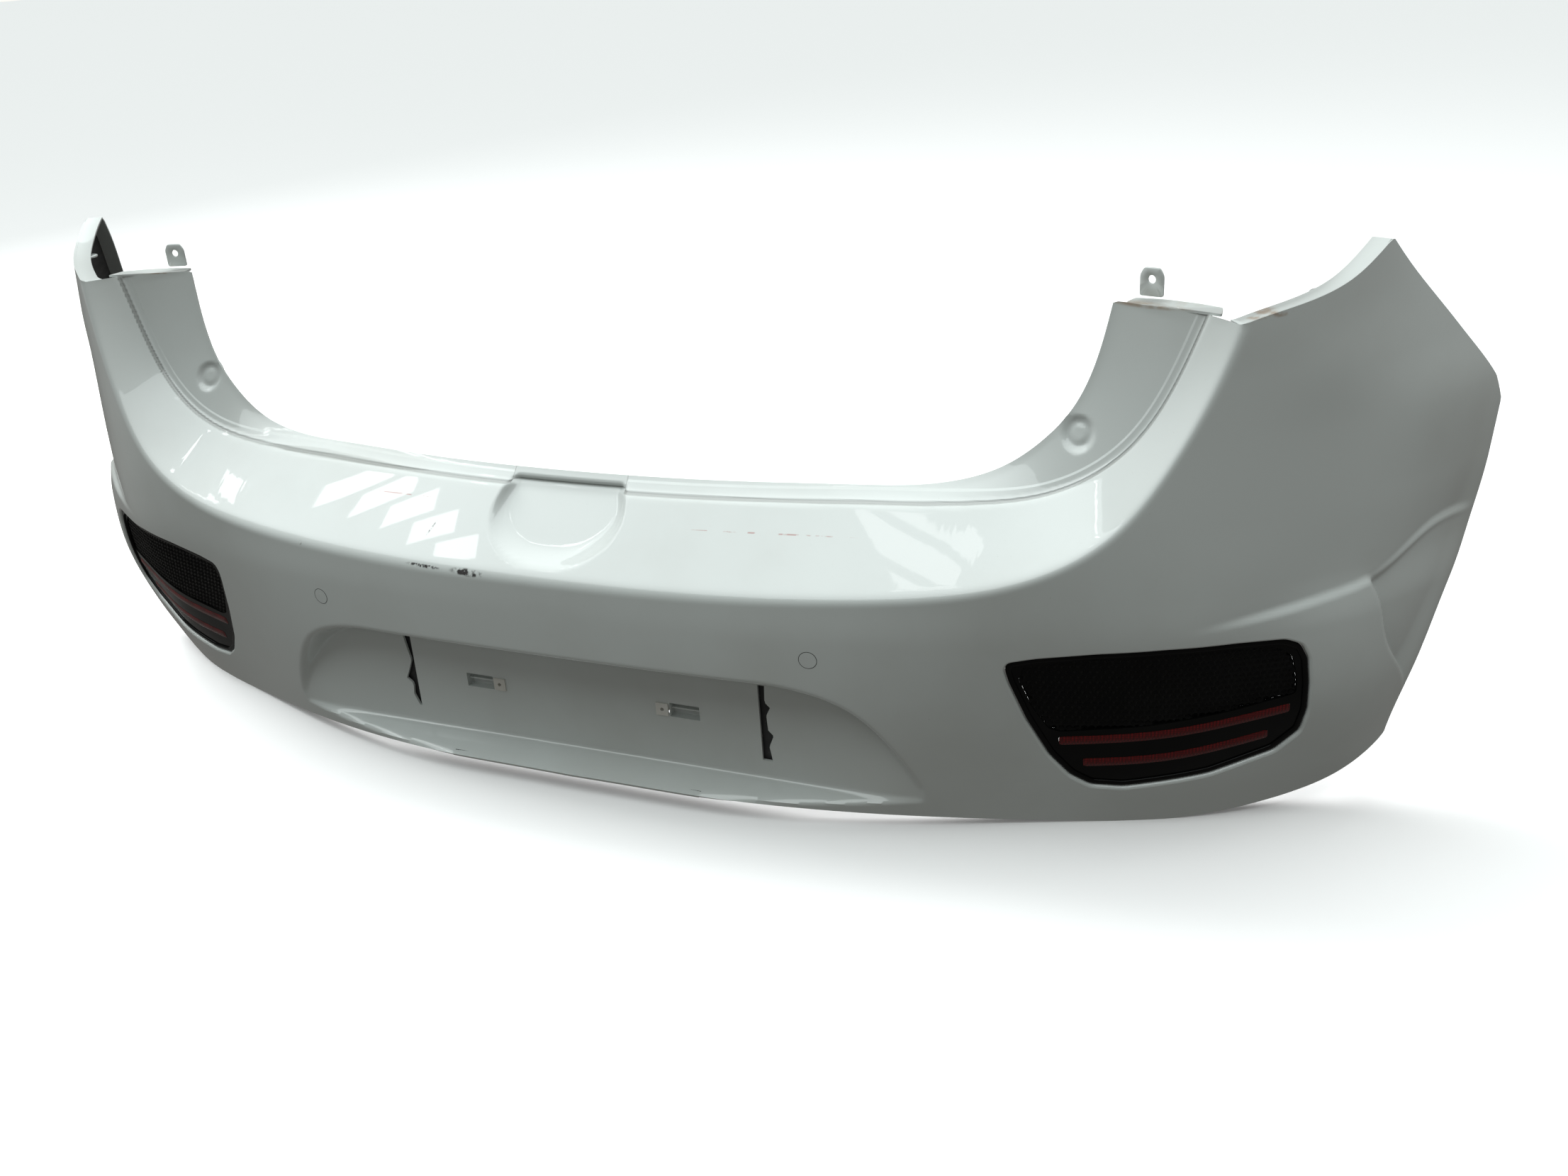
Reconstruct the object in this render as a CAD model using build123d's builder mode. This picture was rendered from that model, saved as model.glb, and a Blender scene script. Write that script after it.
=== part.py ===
import math
import os

from build123d import *

os.makedirs("parts", exist_ok=True)

# Frame: X across the car, Y from the outer rear face towards the car, Z up from the bottom edge.
# Depths below are measured from the plane of the two sensor faces and shifted by mid_depth,
# so that the origin is under the middle of the finished cover.
wall = 3.0
mid_depth = 189.6
sensor_height = 212.0
sensor_pitch = 602.0
plate_bolt_pitch = 210.0
flange_width = 19.0
section_step = 35

# Plan curves of the outer skin at a few heights: right half, from the middle of the car
# round the corner to past the wheel arch, as (across, depth).
skin_sections = {
    -18: [(0, 10), (220, 24), (400, 66), (540, 116), (650, 160), (725, 202), (778, 240),
          (812, 276), (837, 317), (851, 362), (860, 430)],
    62: [(0, -2), (220, 8), (400, 46), (540, 92), (650, 127), (725, 168), (778, 201),
         (812, 233), (838, 276), (858, 345), (868, 430)],
    152: [(0, -9), (220, -2), (400, 28), (540, 70), (650, 104), (725, 142), (778, 173),
          (818, 210), (846, 251), (870, 313), (886, 430)],
    232: [(0, -12), (220, -5), (400, 18), (540, 52), (650, 88), (725, 133), (778, 171),
          (820, 211), (853, 258), (883, 322), (903, 430)],
    282: [(0, -11), (220, -3), (400, 17), (540, 47), (650, 87), (725, 136), (778, 182),
          (820, 224), (855, 273), (890, 340), (916, 430)],
    352: [(0, -14), (220, -6), (400, 14), (540, 46), (650, 91), (725, 142), (778, 189),
          (822, 235), (862, 291), (898, 354), (922, 430)],
    427: [(0, -16), (220, -8), (400, 12), (540, 50), (650, 97), (725, 148), (778, 196),
          (822, 244), (862, 299), (900, 370), (921, 430)],
    485: [(0, -16), (220, -8), (400, 14), (540, 54), (650, 101), (725, 151), (771, 193),
          (808, 241), (842, 293), (872, 348), (900, 430)],
    542: [(0, -14), (220, -6), (400, 18), (540, 58), (650, 105), (724, 155), (767, 199),
          (797, 244), (824, 290), (848, 340), (875, 430)],
    612: [(0, -8), (220, 0), (400, 26), (540, 68), (650, 118), (714, 156), (752, 190),
          (780, 232), (800, 280), (815, 340), (828, 430)],
}

# Lines across the shelf and the pillars: crease, groove and opening edge (across, depth, height).
crease_rail = [(0, -11, 271), (220, -3, 273), (321, 7, 278), (408, 18, 284), (482, 30, 295),
               (544, 44, 317), (592, 62, 352), (629, 82, 402), (659, 105, 462), (683, 129, 535)]
groove_rail = [(0, 69, 343), (219, 80, 344), (316, 91, 346), (392, 99, 348), (452, 106, 352),
               (503, 113, 360), (548, 120, 378), (588, 130, 409), (619, 140, 454), (653, 150, 537)]
opening_rail = [(0, 90, 358), (218, 104, 358), (312, 116, 359), (378, 124, 361), (428, 131, 369),
                (468, 139, 384), (500, 147, 407), (527, 156, 437), (546, 166, 477), (561, 179, 540)]

# Edges seen from behind (across, height) and from the side (depth, height).
seam_edge = [(683, 535), (703, 541), (738, 549), (771, 562), (788, 576), (798, 586),
             (818, 602)]
bottom_edge = [(0, 24), (220, 22), (320, 18), (428, 11), (530, 3), (640, 0), (690, 5), (728, 12),
               (776, 27), (834, 61), (880, 111)]
quarter_edge = [(262, 586), (382, 427)]
arch_edge = [(382, 427), (391, 401), (375, 351), (351, 273), (310, 202), (290, 153), (280, 121),
             (276, 66)]


def mirrored(points):
    return [(-p[0], *p[1:]) for p in reversed(points)]


def inset_points(points, inset):
    moved = []
    for index, point in enumerate(points):
        before = points[max(index - 1, 0)]
        after = points[min(index + 1, len(points) - 1)]
        run = math.hypot(after[0] - before[0], after[1] - before[1])
        moved.append((
            point[0] - inset * (after[1] - before[1]) / run,
            point[1] + inset * (after[0] - before[0]) / run,
        ))
    return moved


def chord_shares(points):
    """How far along its chords each point of a curve lies, from 0 to 1."""
    steps = [math.dist(a, b) for a, b in zip(points, points[1:])]
    return [sum(steps[:index]) / sum(steps) for index in range(len(points))]


def section_at(height):
    """The plan curve's points at any height: a cubic through the given sections."""
    heights = sorted(skin_sections)
    upper = next(index for index in range(1, len(heights)) if height <= heights[index])
    near = [heights[min(max(upper + step, 0), len(heights) - 1)] for step in (-2, -1, 0, 1)]
    share = (height - near[1]) / (near[2] - near[1])
    points = []
    for a, b, c, d in zip(*[skin_sections[key] for key in near]):
        point = []
        for low, start, end, high in zip(a, b, c, d):
            leave = (end - low) / (near[2] - near[0]) * (near[2] - near[1])
            arrive = (high - start) / (near[3] - near[1]) * (near[2] - near[1])
            point.append(
                start * (2 * share**3 - 3 * share**2 + 1)
                + end * (3 * share**2 - 2 * share**3)
                + leave * (share**3 - 2 * share**2 + share)
                + arrive * (share**3 - share**2)
            )
        points.append(tuple(point))
    return points


def skin_body(inset):
    """Everything ahead of the outer skin, moved inwards by the inset."""
    middle = section_at(sensor_height)
    shares = chord_shares(mirrored(middle) + middle[1:])
    with BuildPart() as body:
        for height in range(-18, 613, section_step):
            half = section_at(height)
            full = inset_points(mirrored(half) + half[1:], inset)
            outline = [(x, y - mid_depth) for x, y in full]
            with BuildSketch(Plane.XY.offset(height)):
                with BuildLine():
                    add(Edge.make_spline(outline, parameters=shares))
                    Line(outline[-1], outline[0])
                make_face()
        loft()
    return body.part


def rail_crossing(rails, depth):
    """Where the path over crease, groove and opening edge meets a plane of constant depth."""
    first, second = (rails[0], rails[1]) if depth < rails[1][1] else (rails[1], rails[2])
    share = (depth - first[1]) / (second[1] - first[1])
    return (first[0] + share * (second[0] - first[0]), first[2] + share * (second[2] - first[2]))


def tailgate_air(shift):
    """The space of the tailgate above the shelf and between the pillars."""
    rails = list(zip(crease_rail, groove_rail, opening_rail))
    shares = chord_shares(mirrored(groove_rail) + groove_rail[1:])
    top = 700
    with BuildPart() as body:
        for depth in (-30, 10, 45, 80, 110, 135, 160, 200):
            half = [rail_crossing(rail, depth) for rail in rails]
            full = mirrored(half) + half[1:]
            with BuildSketch(Plane.XZ.offset(mid_depth - depth - shift)):
                with BuildLine():
                    add(Edge.make_spline(full, parameters=shares))
                    Polyline(full[-1], (full[-1][0], top), (full[0][0], top), full[0])
                make_face()
        loft()
    return body.part


def rear_prism(outline, start=-60.0, end=700.0):
    """A prism along Y over an outline seen from behind, between two depths."""
    with BuildPart() as body:
        with BuildSketch(Plane.XZ.offset(mid_depth - start)):
            with BuildLine():
                Polyline(*outline, close=True)
            make_face()
        extrude(amount=start - end)
    return body.part


def side_prism(outline):
    """A prism along X over an outline (depth, height) seen from the side."""
    with BuildPart() as body:
        with BuildSketch(Plane.YZ):
            with BuildLine():
                Polyline(*[(y - mid_depth, z) for y, z in outline], close=True)
            make_face()
        extrude(amount=1000, both=True)
    return body.part


def mirror_image(solid):
    with BuildPart() as body:
        mirror(solid, about=Plane.YZ)
    return body.part


def edge_air(inset):
    """The prisms beyond the cover's own edges, moved into the cover by the inset."""
    pillar_top = 541 - 3.1 * inset
    seam = [(x, z - 1.1 * inset) for x, z in seam_edge]
    top = [(480, pillar_top), (561, pillar_top)] + seam + [(818, 760), (480, 760)]
    bottom = mirrored(bottom_edge) + bottom_edge[1:]
    bottom = [(x, z + inset) for x, z in bottom] + [(1000, 111 + inset), (1000, -60), (-1000, -60),
                                                    (-1000, 111 + inset)]
    side = quarter_edge + arch_edge[1:] + [(276, -60), (700, -60), (700, 760), (262, 760)]
    side = [(y - 1.2 * inset, z) for y, z in side]
    right_top = rear_prism(top)
    return [right_top, mirror_image(right_top), rear_prism(bottom), side_prism(side)]


# The plate recess: a mouth in the skin and a flat floor, both symmetrical (across, height).
plate_depth = 47.5
recess_mouth = [(224, 186), (300, 180), (350, 160), (385, 128), (416, 82), (440, 40)]
recess_floor = [(218, 163), (286, 158), (330, 141), (362, 110), (386, 76), (400, 50)]


def recess_air(inset, lower):
    """The plate recess, made larger by the inset, with its lower side dropped."""
    with BuildPart() as body:
        for depth, half, base in ((-30, recess_mouth, 15), (plate_depth, recess_floor, 36)):
            right = [(x + inset, z + inset) for x, z in half]
            with BuildSketch(Plane.XZ.offset(mid_depth - depth - inset)):
                with BuildLine():
                    Line((-right[0][0], right[0][1]), right[0])
                    Spline(*right)
                    Polyline(right[-1], (right[-1][0], base - lower), (-right[-1][0], base - lower),
                             (-right[-1][0], right[-1][1]))
                    Spline(*mirrored(right))
                make_face()
        loft()
    return body.part


# The hand recess in the middle of the shelf is part of a sphere.
scoop_radius = 190.0
scoop_centre = (0, 43 - mid_depth - 118, 321 + 124)
dimple_place = (537, 139, 418)
sensor_radius = 9.0
ring_width = 0.6
lamp_turn = 26.0
lamp_plane = Plane(
    origin=(645, 108 - mid_depth, 113),
    x_dir=(math.cos(math.radians(lamp_turn)), math.sin(math.radians(lamp_turn)), 0),
    z_dir=(-math.sin(math.radians(lamp_turn)), math.cos(math.radians(lamp_turn)), 0),
)
pillar_plane = Plane(
    origin=(dimple_place[0], dimple_place[1] - mid_depth, dimple_place[2]),
    x_dir=(-0.94, 0.34, 0),
    z_dir=(-0.34, -0.94, 0),
)
bezel_outline = [(494, 214), (520, 219), (578, 225), (640, 228), (700, 227), (742, 224), (757, 216),
                 (764, 200), (767, 170), (767, 138), (761, 111), (738, 87), (680, 65), (598, 51),
                 (566, 54), (547, 68), (528, 96), (508, 144), (494, 190), (491, 205)]


def grown(outline, amount):
    """An outline moved out of (or into) itself, point by point along its normals."""
    moved = []
    count = len(outline)
    for index, (x, z) in enumerate(outline):
        before = outline[index - 1]
        after = outline[(index + 1) % count]
        run = math.hypot(after[0] - before[0], after[1] - before[1])
        moved.append((x - amount * (after[1] - before[1]) / run,
                      z + amount * (after[0] - before[0]) / run))
    return moved


def skin_block(inset, outline):
    """The part of the skin body inside an outline seen from behind."""
    with BuildPart() as body:
        add(skins[inset])
        add(rear_prism(outline, -60, 330), mode=Mode.INTERSECT)
    return body.part


def skin_layer(outer_inset, inner_inset, outline, hole=None):
    """A layer of the skin between two insets, inside one outline and outside another."""
    with BuildPart() as body:
        add(skin_block(outer_inset, outline))
        add(skin_block(inner_inset, outline), mode=Mode.SUBTRACT)
        if hole:
            add(rear_prism(hole), mode=Mode.SUBTRACT)
    return body.part


def opening_air():
    """The clear opening inside the edge of the shelf and the pillars."""
    half = [(x, z) for x, depth, z in opening_rail]
    with BuildPart() as body:
        with BuildSketch(Plane.XZ.offset(mid_depth + 60)):
            with BuildLine():
                Spline(*(mirrored(half) + half[1:]))
                Polyline(half[-1], (half[-1][0], 760), (-half[-1][0], 760), (-half[-1][0], half[-1][1]))
            make_face()
        extrude(amount=-700)
    return body.part


def both_sides(solid):
    with BuildPart() as body:
        add(solid)
        mirror(solid, about=Plane.YZ)
    return body.part


def pillar_tab():
    """The upright tab on top of a pillar, with its screw hole."""
    tab_plane = Plane(origin=(593, 194.5 - mid_depth, 556), x_dir=(0.96, -0.28, 0), z_dir=(-0.28, -0.96, 0))
    with BuildPart() as body:
        with BuildSketch(tab_plane):
            with BuildLine():
                Polyline((-12, -18), (12, -18), (12, 7), (7, 13), (-7, 13), (-12, 7), close=True)
            make_face()
            with Locations((0, 2)):
                Circle(tab_hole_radius, mode=Mode.SUBTRACT)
        extrude(amount=wall / 2, both=True)
    return body.part


def round_pocket(plane, radius, depth):
    with BuildPart() as body:
        with BuildSketch(plane):
            Circle(radius)
        extrude(amount=30)
        with BuildSketch(plane):
            Circle(radius)
        extrude(amount=-depth)
    return body.part


def scoop_air(extra):
    with BuildPart() as body:
        with Locations(scoop_centre):
            Sphere(scoop_radius + extra)
    return body.part


def strip_outline(start, end, bow, height, steps=6):
    """A lens strip seen from behind: a sagging band between two end points."""
    middle = []
    for step in range(steps + 1):
        share = step / steps
        x = start[0] + share * (end[0] - start[0])
        z = start[1] + share * (end[1] - start[1]) - bow * 4 * share * (1 - share)
        middle.append((x, z))
    upper = [(x, z + height / 2) for x, z in middle]
    lower = [(x, z - height / 2) for x, z in reversed(middle)]
    return lower + upper


def rod(plane, radius, start, end):
    """A round rod along a plane's normal, between two distances from it."""
    with BuildPart() as body:
        with BuildSketch(plane.offset(start)):
            Circle(radius)
        extrude(amount=end - start)
    return body.part


def along_depth(x, z):
    """A plane that faces into the cover, at the sensor plane's depth."""
    return Plane(origin=(x, -mid_depth, z), x_dir=(1, 0, 0), z_dir=(0, 1, 0))


def finish(name, solid):
    solid.label = name
    export_step(solid, f"parts/{name}.step")
    print(name, round(solid.volume), solid.is_valid, len(solid.solids()))


def finish_pair(name, right):
    finish(f"{name}_right", right)
    finish(f"{name}_left", mirror_image(right))


mesh_outline = [(508, 207), (578, 217), (640, 220), (700, 219), (738, 215), (752, 202), (757, 175),
                (757, 158), (700, 144), (620, 131), (540, 124), (529, 128), (513, 160), (503, 192)]
upper_strip = strip_outline((538, 112), (752, 141), 5, 11)
lower_strip = strip_outline((560, 83), (733, 109), 5, 11)
rim_outline = grown(bezel_outline, 3)
frame_rim = grown(bezel_outline, -3)
tab_hole_radius = 4.0
ear_hole_radius = 4.5
nut_bore_radius = 2.2
nut_height = 103.5
slot_right = [(222, 150), (230, 150), (229, 130), (235, 124), (230, 114), (231, 96), (237, 90),
              (231, 76), (234, 58), (222, 58)]
slot_left = [(-222, 150), (-232, 150), (-229, 132), (-226, 118), (-231, 106), (-237, 93), (-229, 86),
             (-231, 72), (-225, 58), (-222, 58)]

skins = {inset: skin_body(inset) for inset in (0, wall, 4, 6, 7, 9, 12, 14)}
clear_opening = opening_air()

with BuildPart() as cover_outside:
    add(skins[0])
    add(tailgate_air(0), mode=Mode.SUBTRACT)
    for prism in edge_air(0):
        add(prism, mode=Mode.SUBTRACT)
    add(recess_air(0, 0), mode=Mode.SUBTRACT)
    add(scoop_air(0), mode=Mode.SUBTRACT)
    add(both_sides(round_pocket(pillar_plane, 17, 3)), mode=Mode.SUBTRACT)
    add(clear_opening, mode=Mode.SUBTRACT)

with BuildPart() as cover_inside:
    add(skins[wall])
    add(tailgate_air(4.2), mode=Mode.SUBTRACT)
    for prism in edge_air(wall):
        add(prism, mode=Mode.SUBTRACT)
    add(recess_air(wall, 60), mode=Mode.SUBTRACT)
    add(scoop_air(3.5), mode=Mode.SUBTRACT)
    add(both_sides(round_pocket(pillar_plane, 20, 7)), mode=Mode.SUBTRACT)

with BuildPart() as cover_heart:
    add(skin_body(flange_width))
    add(tailgate_air(28), mode=Mode.SUBTRACT)
    add(recess_air(8, 60), mode=Mode.SUBTRACT)
    add(scoop_air(10), mode=Mode.SUBTRACT)

ear_plane = Plane.XY.offset(548)
with BuildPart() as seam_ear:
    with BuildSketch(ear_plane):
        with Locations((746, 196 - mid_depth)):
            Circle(13)
    extrude(amount=wall)

with BuildPart() as plate_holes:
    for side in (-1, 1):
        with BuildSketch(Plane.XZ.offset(mid_depth - 40)):
            with Locations((side * plate_bolt_pitch / 2, nut_height)):
                Rectangle(9, 9)
            with Locations((side * 132, nut_height)):
                Rectangle(36, 17)
        extrude(amount=-14)
    add(rear_prism(slot_right, 40, 60))
    add(rear_prism(slot_left, 40, 60))

with BuildPart() as bumper_cover:
    add(cover_outside.part)
    add(cover_inside.part, mode=Mode.SUBTRACT)
    add(cover_heart.part, mode=Mode.SUBTRACT)
    add(both_sides(skin_layer(0, 14, rim_outline)))
    add(both_sides(rear_prism(bezel_outline, -60, 330)), mode=Mode.SUBTRACT)
    add(both_sides(pillar_tab()))
    add(both_sides(seam_ear.part))
    ear_hole_plane = Plane(origin=(746, 198 - mid_depth, 540))
    add(both_sides(rod(ear_hole_plane, ear_hole_radius, 0, 16)), mode=Mode.SUBTRACT)
    hole = rod(along_depth(sensor_pitch / 2, sensor_height), sensor_radius + ring_width, -30, 30)
    add(both_sides(hole), mode=Mode.SUBTRACT)
    add(plate_holes.part, mode=Mode.SUBTRACT)

bezel_frame = skin_layer(wall, 12, bezel_outline, frame_rim)
with BuildPart() as fog_bezel:
    add(skin_layer(6, 9, bezel_outline))
    add(bezel_frame)
    for window in (mesh_outline, upper_strip, lower_strip):
        add(rear_prism(window), mode=Mode.SUBTRACT)

mesh_insert = skin_layer(7, 9, mesh_outline)
upper_reflector = skin_layer(4, 9, upper_strip)
lower_reflector = skin_layer(4, 9, lower_strip)

housing_back = 46.0
housing_wall = 2.5
port_radius = 14.2
barrel_radius = 13.8
lug_radius = 17.0
lug_angle = 24
unlock_turn = 40
screw_places = [(x, y) for x in (-92, 92) for y in (-27, 27)]


def lug_ring(plane, radius, angle, start, end, turn):
    """Three sectors round a plane's axis, as bayonet lugs or as the slots for them."""
    half = math.radians(angle / 2)
    reach = radius / math.cos(half)
    with BuildPart() as body:
        with BuildSketch(plane.offset(start)):
            with PolarLocations(0, 3, start_angle=turn):
                Polygon((0, 0), (reach * math.cos(half), -reach * math.sin(half)),
                        (reach * math.cos(half), reach * math.sin(half)), align=None)
            Circle(radius, mode=Mode.INTERSECT)
        extrude(amount=end - start)
    return body.part


with BuildPart() as lamp_housing:
    with BuildSketch(lamp_plane.offset(-30)):
        RectangleRounded(200, 68, 12)
    extrude(amount=housing_back + 30)
    with BuildSketch(lamp_plane.offset(-30)):
        RectangleRounded(200 - 2 * housing_wall, 68 - 2 * housing_wall, 12 - housing_wall)
    extrude(amount=housing_back + 30 - housing_wall, mode=Mode.SUBTRACT)
    with BuildSketch(lamp_plane.offset(-30)):
        with Locations(*screw_places):
            Circle(4.5)
    extrude(amount=housing_back + 30)
    add(skins[9], mode=Mode.INTERSECT)
    add(bezel_frame, mode=Mode.SUBTRACT)
    with BuildSketch(lamp_plane.offset(-30)):
        with Locations(*screw_places):
            Circle(1.6)
    extrude(amount=housing_back + 60, mode=Mode.SUBTRACT)
    add(rod(lamp_plane, port_radius, 30, 60), mode=Mode.SUBTRACT)
    add(lug_ring(lamp_plane, lug_radius + 0.6, lug_angle + 8, 30, 60, unlock_turn), mode=Mode.SUBTRACT)

with BuildPart() as bulb_socket:
    add(rod(lamp_plane, barrel_radius, 30, 48.2))
    add(lug_ring(lamp_plane, lug_radius, lug_angle, 39.5, 43.0, 0))
    add(rod(lamp_plane, 19, 48.2, 51))
    with BuildSketch(lamp_plane.offset(51)):
        RectangleRounded(22, 15, 2.5)
    extrude(amount=16)
    with BuildSketch(lamp_plane.offset(67)):
        RectangleRounded(18, 11, 1.5)
    extrude(amount=-12, mode=Mode.SUBTRACT)
    add(rod(lamp_plane, 5, 24, 42), mode=Mode.SUBTRACT)

with BuildPart() as socket_gasket:
    add(rod(lamp_plane, 18.5, 46.4, 48.2))
    add(rod(lamp_plane, barrel_radius, 46, 49), mode=Mode.SUBTRACT)

with BuildPart() as fog_bulb:
    add(rod(lamp_plane, 5, 26, 42))
    add(rod(lamp_plane, 4.2, 18, 26))
    with Locations(lamp_plane.offset(18).location):
        Sphere(4.2)

with BuildPart() as lamp_screws:
    with BuildSketch(lamp_plane.offset(20)):
        with Locations(*screw_places):
            Circle(1.6)
    extrude(amount=housing_back - 20)
    add(skins[12], mode=Mode.INTERSECT)
    with BuildSketch(lamp_plane.offset(housing_back)):
        with Locations(*screw_places):
            Circle(3.4)
    extrude(amount=2.2)

sensor_axis = along_depth(sensor_pitch / 2, sensor_height)
bracket_square = [(301 + x, sensor_height + z) for x, z in ((-20, -20), (20, -20), (20, 20), (-20, 20))]
with BuildPart() as sensor_body:
    add(rod(sensor_axis, sensor_radius, -20, 24))
    add(skins[0], mode=Mode.INTERSECT)
    with BuildSketch(sensor_axis.offset(24)):
        RectangleRounded(17, 12, 2)
    extrude(amount=14)

with BuildPart() as sensor_ring:
    add(rod(sensor_axis, sensor_radius + ring_width, -20, 20))
    add(rod(sensor_axis, sensor_radius, -20, 20), mode=Mode.SUBTRACT)
    add(skins[0], mode=Mode.INTERSECT)
    add(skins[wall], mode=Mode.SUBTRACT)

with BuildPart() as sensor_bracket:
    add(skin_layer(wall, 6, bracket_square))
    with BuildPart(mode=Mode.PRIVATE) as collar:
        add(rod(sensor_axis, 12.5, -10, 20))
        add(skins[wall], mode=Mode.INTERSECT)
    add(collar.part)
    add(rod(sensor_axis, sensor_radius, -30, 30), mode=Mode.SUBTRACT)

with BuildPart() as plate_nut:
    nut_plane = along_depth(plate_bolt_pitch / 2, nut_height).offset(plate_depth)
    with BuildSketch(nut_plane.offset(-2)):
        Rectangle(15, 15)
    extrude(amount=2)
    with BuildSketch(nut_plane):
        Rectangle(9, 9)
    extrude(amount=13)
    with BuildSketch(nut_plane.offset(-3)):
        Circle(nut_bore_radius)
    extrude(amount=20, mode=Mode.SUBTRACT)

finish("bumper_cover", bumper_cover.part)
finish_pair("fog_bezel", fog_bezel.part)
finish_pair("mesh_insert", mesh_insert)
finish_pair("upper_reflector", upper_reflector)
finish_pair("lower_reflector", lower_reflector)
finish_pair("lamp_housing", lamp_housing.part)
finish_pair("bulb_socket", bulb_socket.part)
finish_pair("socket_gasket", socket_gasket.part)
finish_pair("fog_bulb", fog_bulb.part)
finish_pair("lamp_screws", lamp_screws.part)
finish_pair("sensor_body", sensor_body.part)
finish_pair("sensor_ring", sensor_ring.part)
finish_pair("sensor_bracket", sensor_bracket.part)
finish_pair("plate_nut", plate_nut.part)
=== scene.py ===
import math

import bpy
import numpy as np
from mathutils import Matrix, Vector


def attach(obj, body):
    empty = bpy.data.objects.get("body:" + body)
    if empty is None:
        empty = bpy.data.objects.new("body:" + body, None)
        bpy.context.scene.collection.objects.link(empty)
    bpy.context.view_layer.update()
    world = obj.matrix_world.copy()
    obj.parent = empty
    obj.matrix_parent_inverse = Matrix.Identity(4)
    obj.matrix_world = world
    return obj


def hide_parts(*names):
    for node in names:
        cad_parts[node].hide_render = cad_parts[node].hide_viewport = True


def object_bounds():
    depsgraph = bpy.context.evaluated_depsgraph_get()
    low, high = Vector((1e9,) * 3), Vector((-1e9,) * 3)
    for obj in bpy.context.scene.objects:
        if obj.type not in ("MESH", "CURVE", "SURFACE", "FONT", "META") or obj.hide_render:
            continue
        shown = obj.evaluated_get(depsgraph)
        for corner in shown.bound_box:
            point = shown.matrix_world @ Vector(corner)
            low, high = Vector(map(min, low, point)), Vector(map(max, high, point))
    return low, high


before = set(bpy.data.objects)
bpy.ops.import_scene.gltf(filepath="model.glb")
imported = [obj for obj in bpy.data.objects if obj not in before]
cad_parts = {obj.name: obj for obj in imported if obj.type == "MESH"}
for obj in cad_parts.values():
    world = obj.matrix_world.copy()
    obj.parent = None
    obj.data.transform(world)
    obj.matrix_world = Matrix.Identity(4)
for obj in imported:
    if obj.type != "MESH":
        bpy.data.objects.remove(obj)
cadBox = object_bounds()
print("frame loaded", len(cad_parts), "nodes")

# The outer skin: plan curves at a few heights, in millimetres, as (across, depth).
# Depth grows from the sensor faces towards the car, and midDepth brings it to the frame's Y.
skin = {
    "midDepth": 189.6,
    "wall": 3.0,
    "sensorHeight": 212.0,
    "sections": {
        -18: [(0, 10), (220, 24), (400, 66), (540, 116), (650, 160), (725, 202), (778, 240),
              (812, 276), (837, 317), (851, 362), (860, 430)],
        62: [(0, -2), (220, 8), (400, 46), (540, 92), (650, 127), (725, 168), (778, 201),
             (812, 233), (838, 276), (858, 345), (868, 430)],
        152: [(0, -9), (220, -2), (400, 28), (540, 70), (650, 104), (725, 142), (778, 173),
              (818, 210), (846, 251), (870, 313), (886, 430)],
        232: [(0, -12), (220, -5), (400, 18), (540, 52), (650, 88), (725, 133), (778, 171),
              (820, 211), (853, 258), (883, 322), (903, 430)],
        282: [(0, -11), (220, -3), (400, 17), (540, 47), (650, 87), (725, 136), (778, 182),
              (820, 224), (855, 273), (890, 340), (916, 430)],
        352: [(0, -14), (220, -6), (400, 14), (540, 46), (650, 91), (725, 142), (778, 189),
              (822, 235), (862, 291), (898, 354), (922, 430)],
        427: [(0, -16), (220, -8), (400, 12), (540, 50), (650, 97), (725, 148), (778, 196),
              (822, 244), (862, 299), (900, 370), (921, 430)],
        485: [(0, -16), (220, -8), (400, 14), (540, 54), (650, 101), (725, 151), (771, 193),
              (808, 241), (842, 293), (872, 348), (900, 430)],
        542: [(0, -14), (220, -6), (400, 18), (540, 58), (650, 105), (724, 155), (767, 199),
              (797, 244), (824, 290), (848, 340), (875, 430)],
        612: [(0, -8), (220, 0), (400, 26), (540, 68), (650, 118), (714, 156), (752, 190),
              (780, 232), (800, 280), (815, 340), (828, 430)],
    },
}
sectionHeights = np.array(sorted(skin["sections"]), float)
sectionTable = np.array([skin["sections"][int(h)] for h in sectionHeights], float)


def sectionAt(height):  # cubic in height through the sections, slopes from the neighbours on either side
    upper = np.clip(np.searchsorted(sectionHeights, height), 1, len(sectionHeights) - 1)
    keys = np.clip(upper[:, None] + np.array([-2, -1, 0, 1]), 0, len(sectionHeights) - 1)
    near = sectionHeights[keys]
    span = near[:, 2] - near[:, 1]
    share = ((height - near[:, 1]) / span)[:, None, None]
    low, start, end, high = (sectionTable[keys[:, k]] for k in range(4))
    leave = (end - low) * (span / (near[:, 2] - near[:, 0]))[:, None, None]
    arrive = (high - start) * (span / (near[:, 3] - near[:, 1]))[:, None, None]
    return (
        start * (2 * share**3 - 3 * share**2 + 1)
        + end * (3 * share**2 - 2 * share**3)
        + leave * (share**3 - 2 * share**2 + share)
        + arrive * (share**3 - share**2)
    )


def bendMatrix(knots):  # second derivatives of a cubic spline = this matrix times its points
    count = len(knots)
    step = np.diff(knots)
    left = np.zeros((count, count))
    right = np.zeros((count, count))
    inner = np.arange(1, count - 1)
    left[inner, inner - 1] = step[:-1]
    left[inner, inner] = 2 * (step[:-1] + step[1:])
    left[inner, inner + 1] = step[1:]
    right[inner, inner - 1] = 6 / step[:-1]
    right[inner, inner] = -6 / step[:-1] - 6 / step[1:]
    right[inner, inner + 1] = 6 / step[1:]
    left[0, :3] = (step[1], -step[0] - step[1], step[0])
    left[-1, -3:] = (step[-1], -step[-2] - step[-1], step[-2])
    return np.linalg.solve(left, right)


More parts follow.
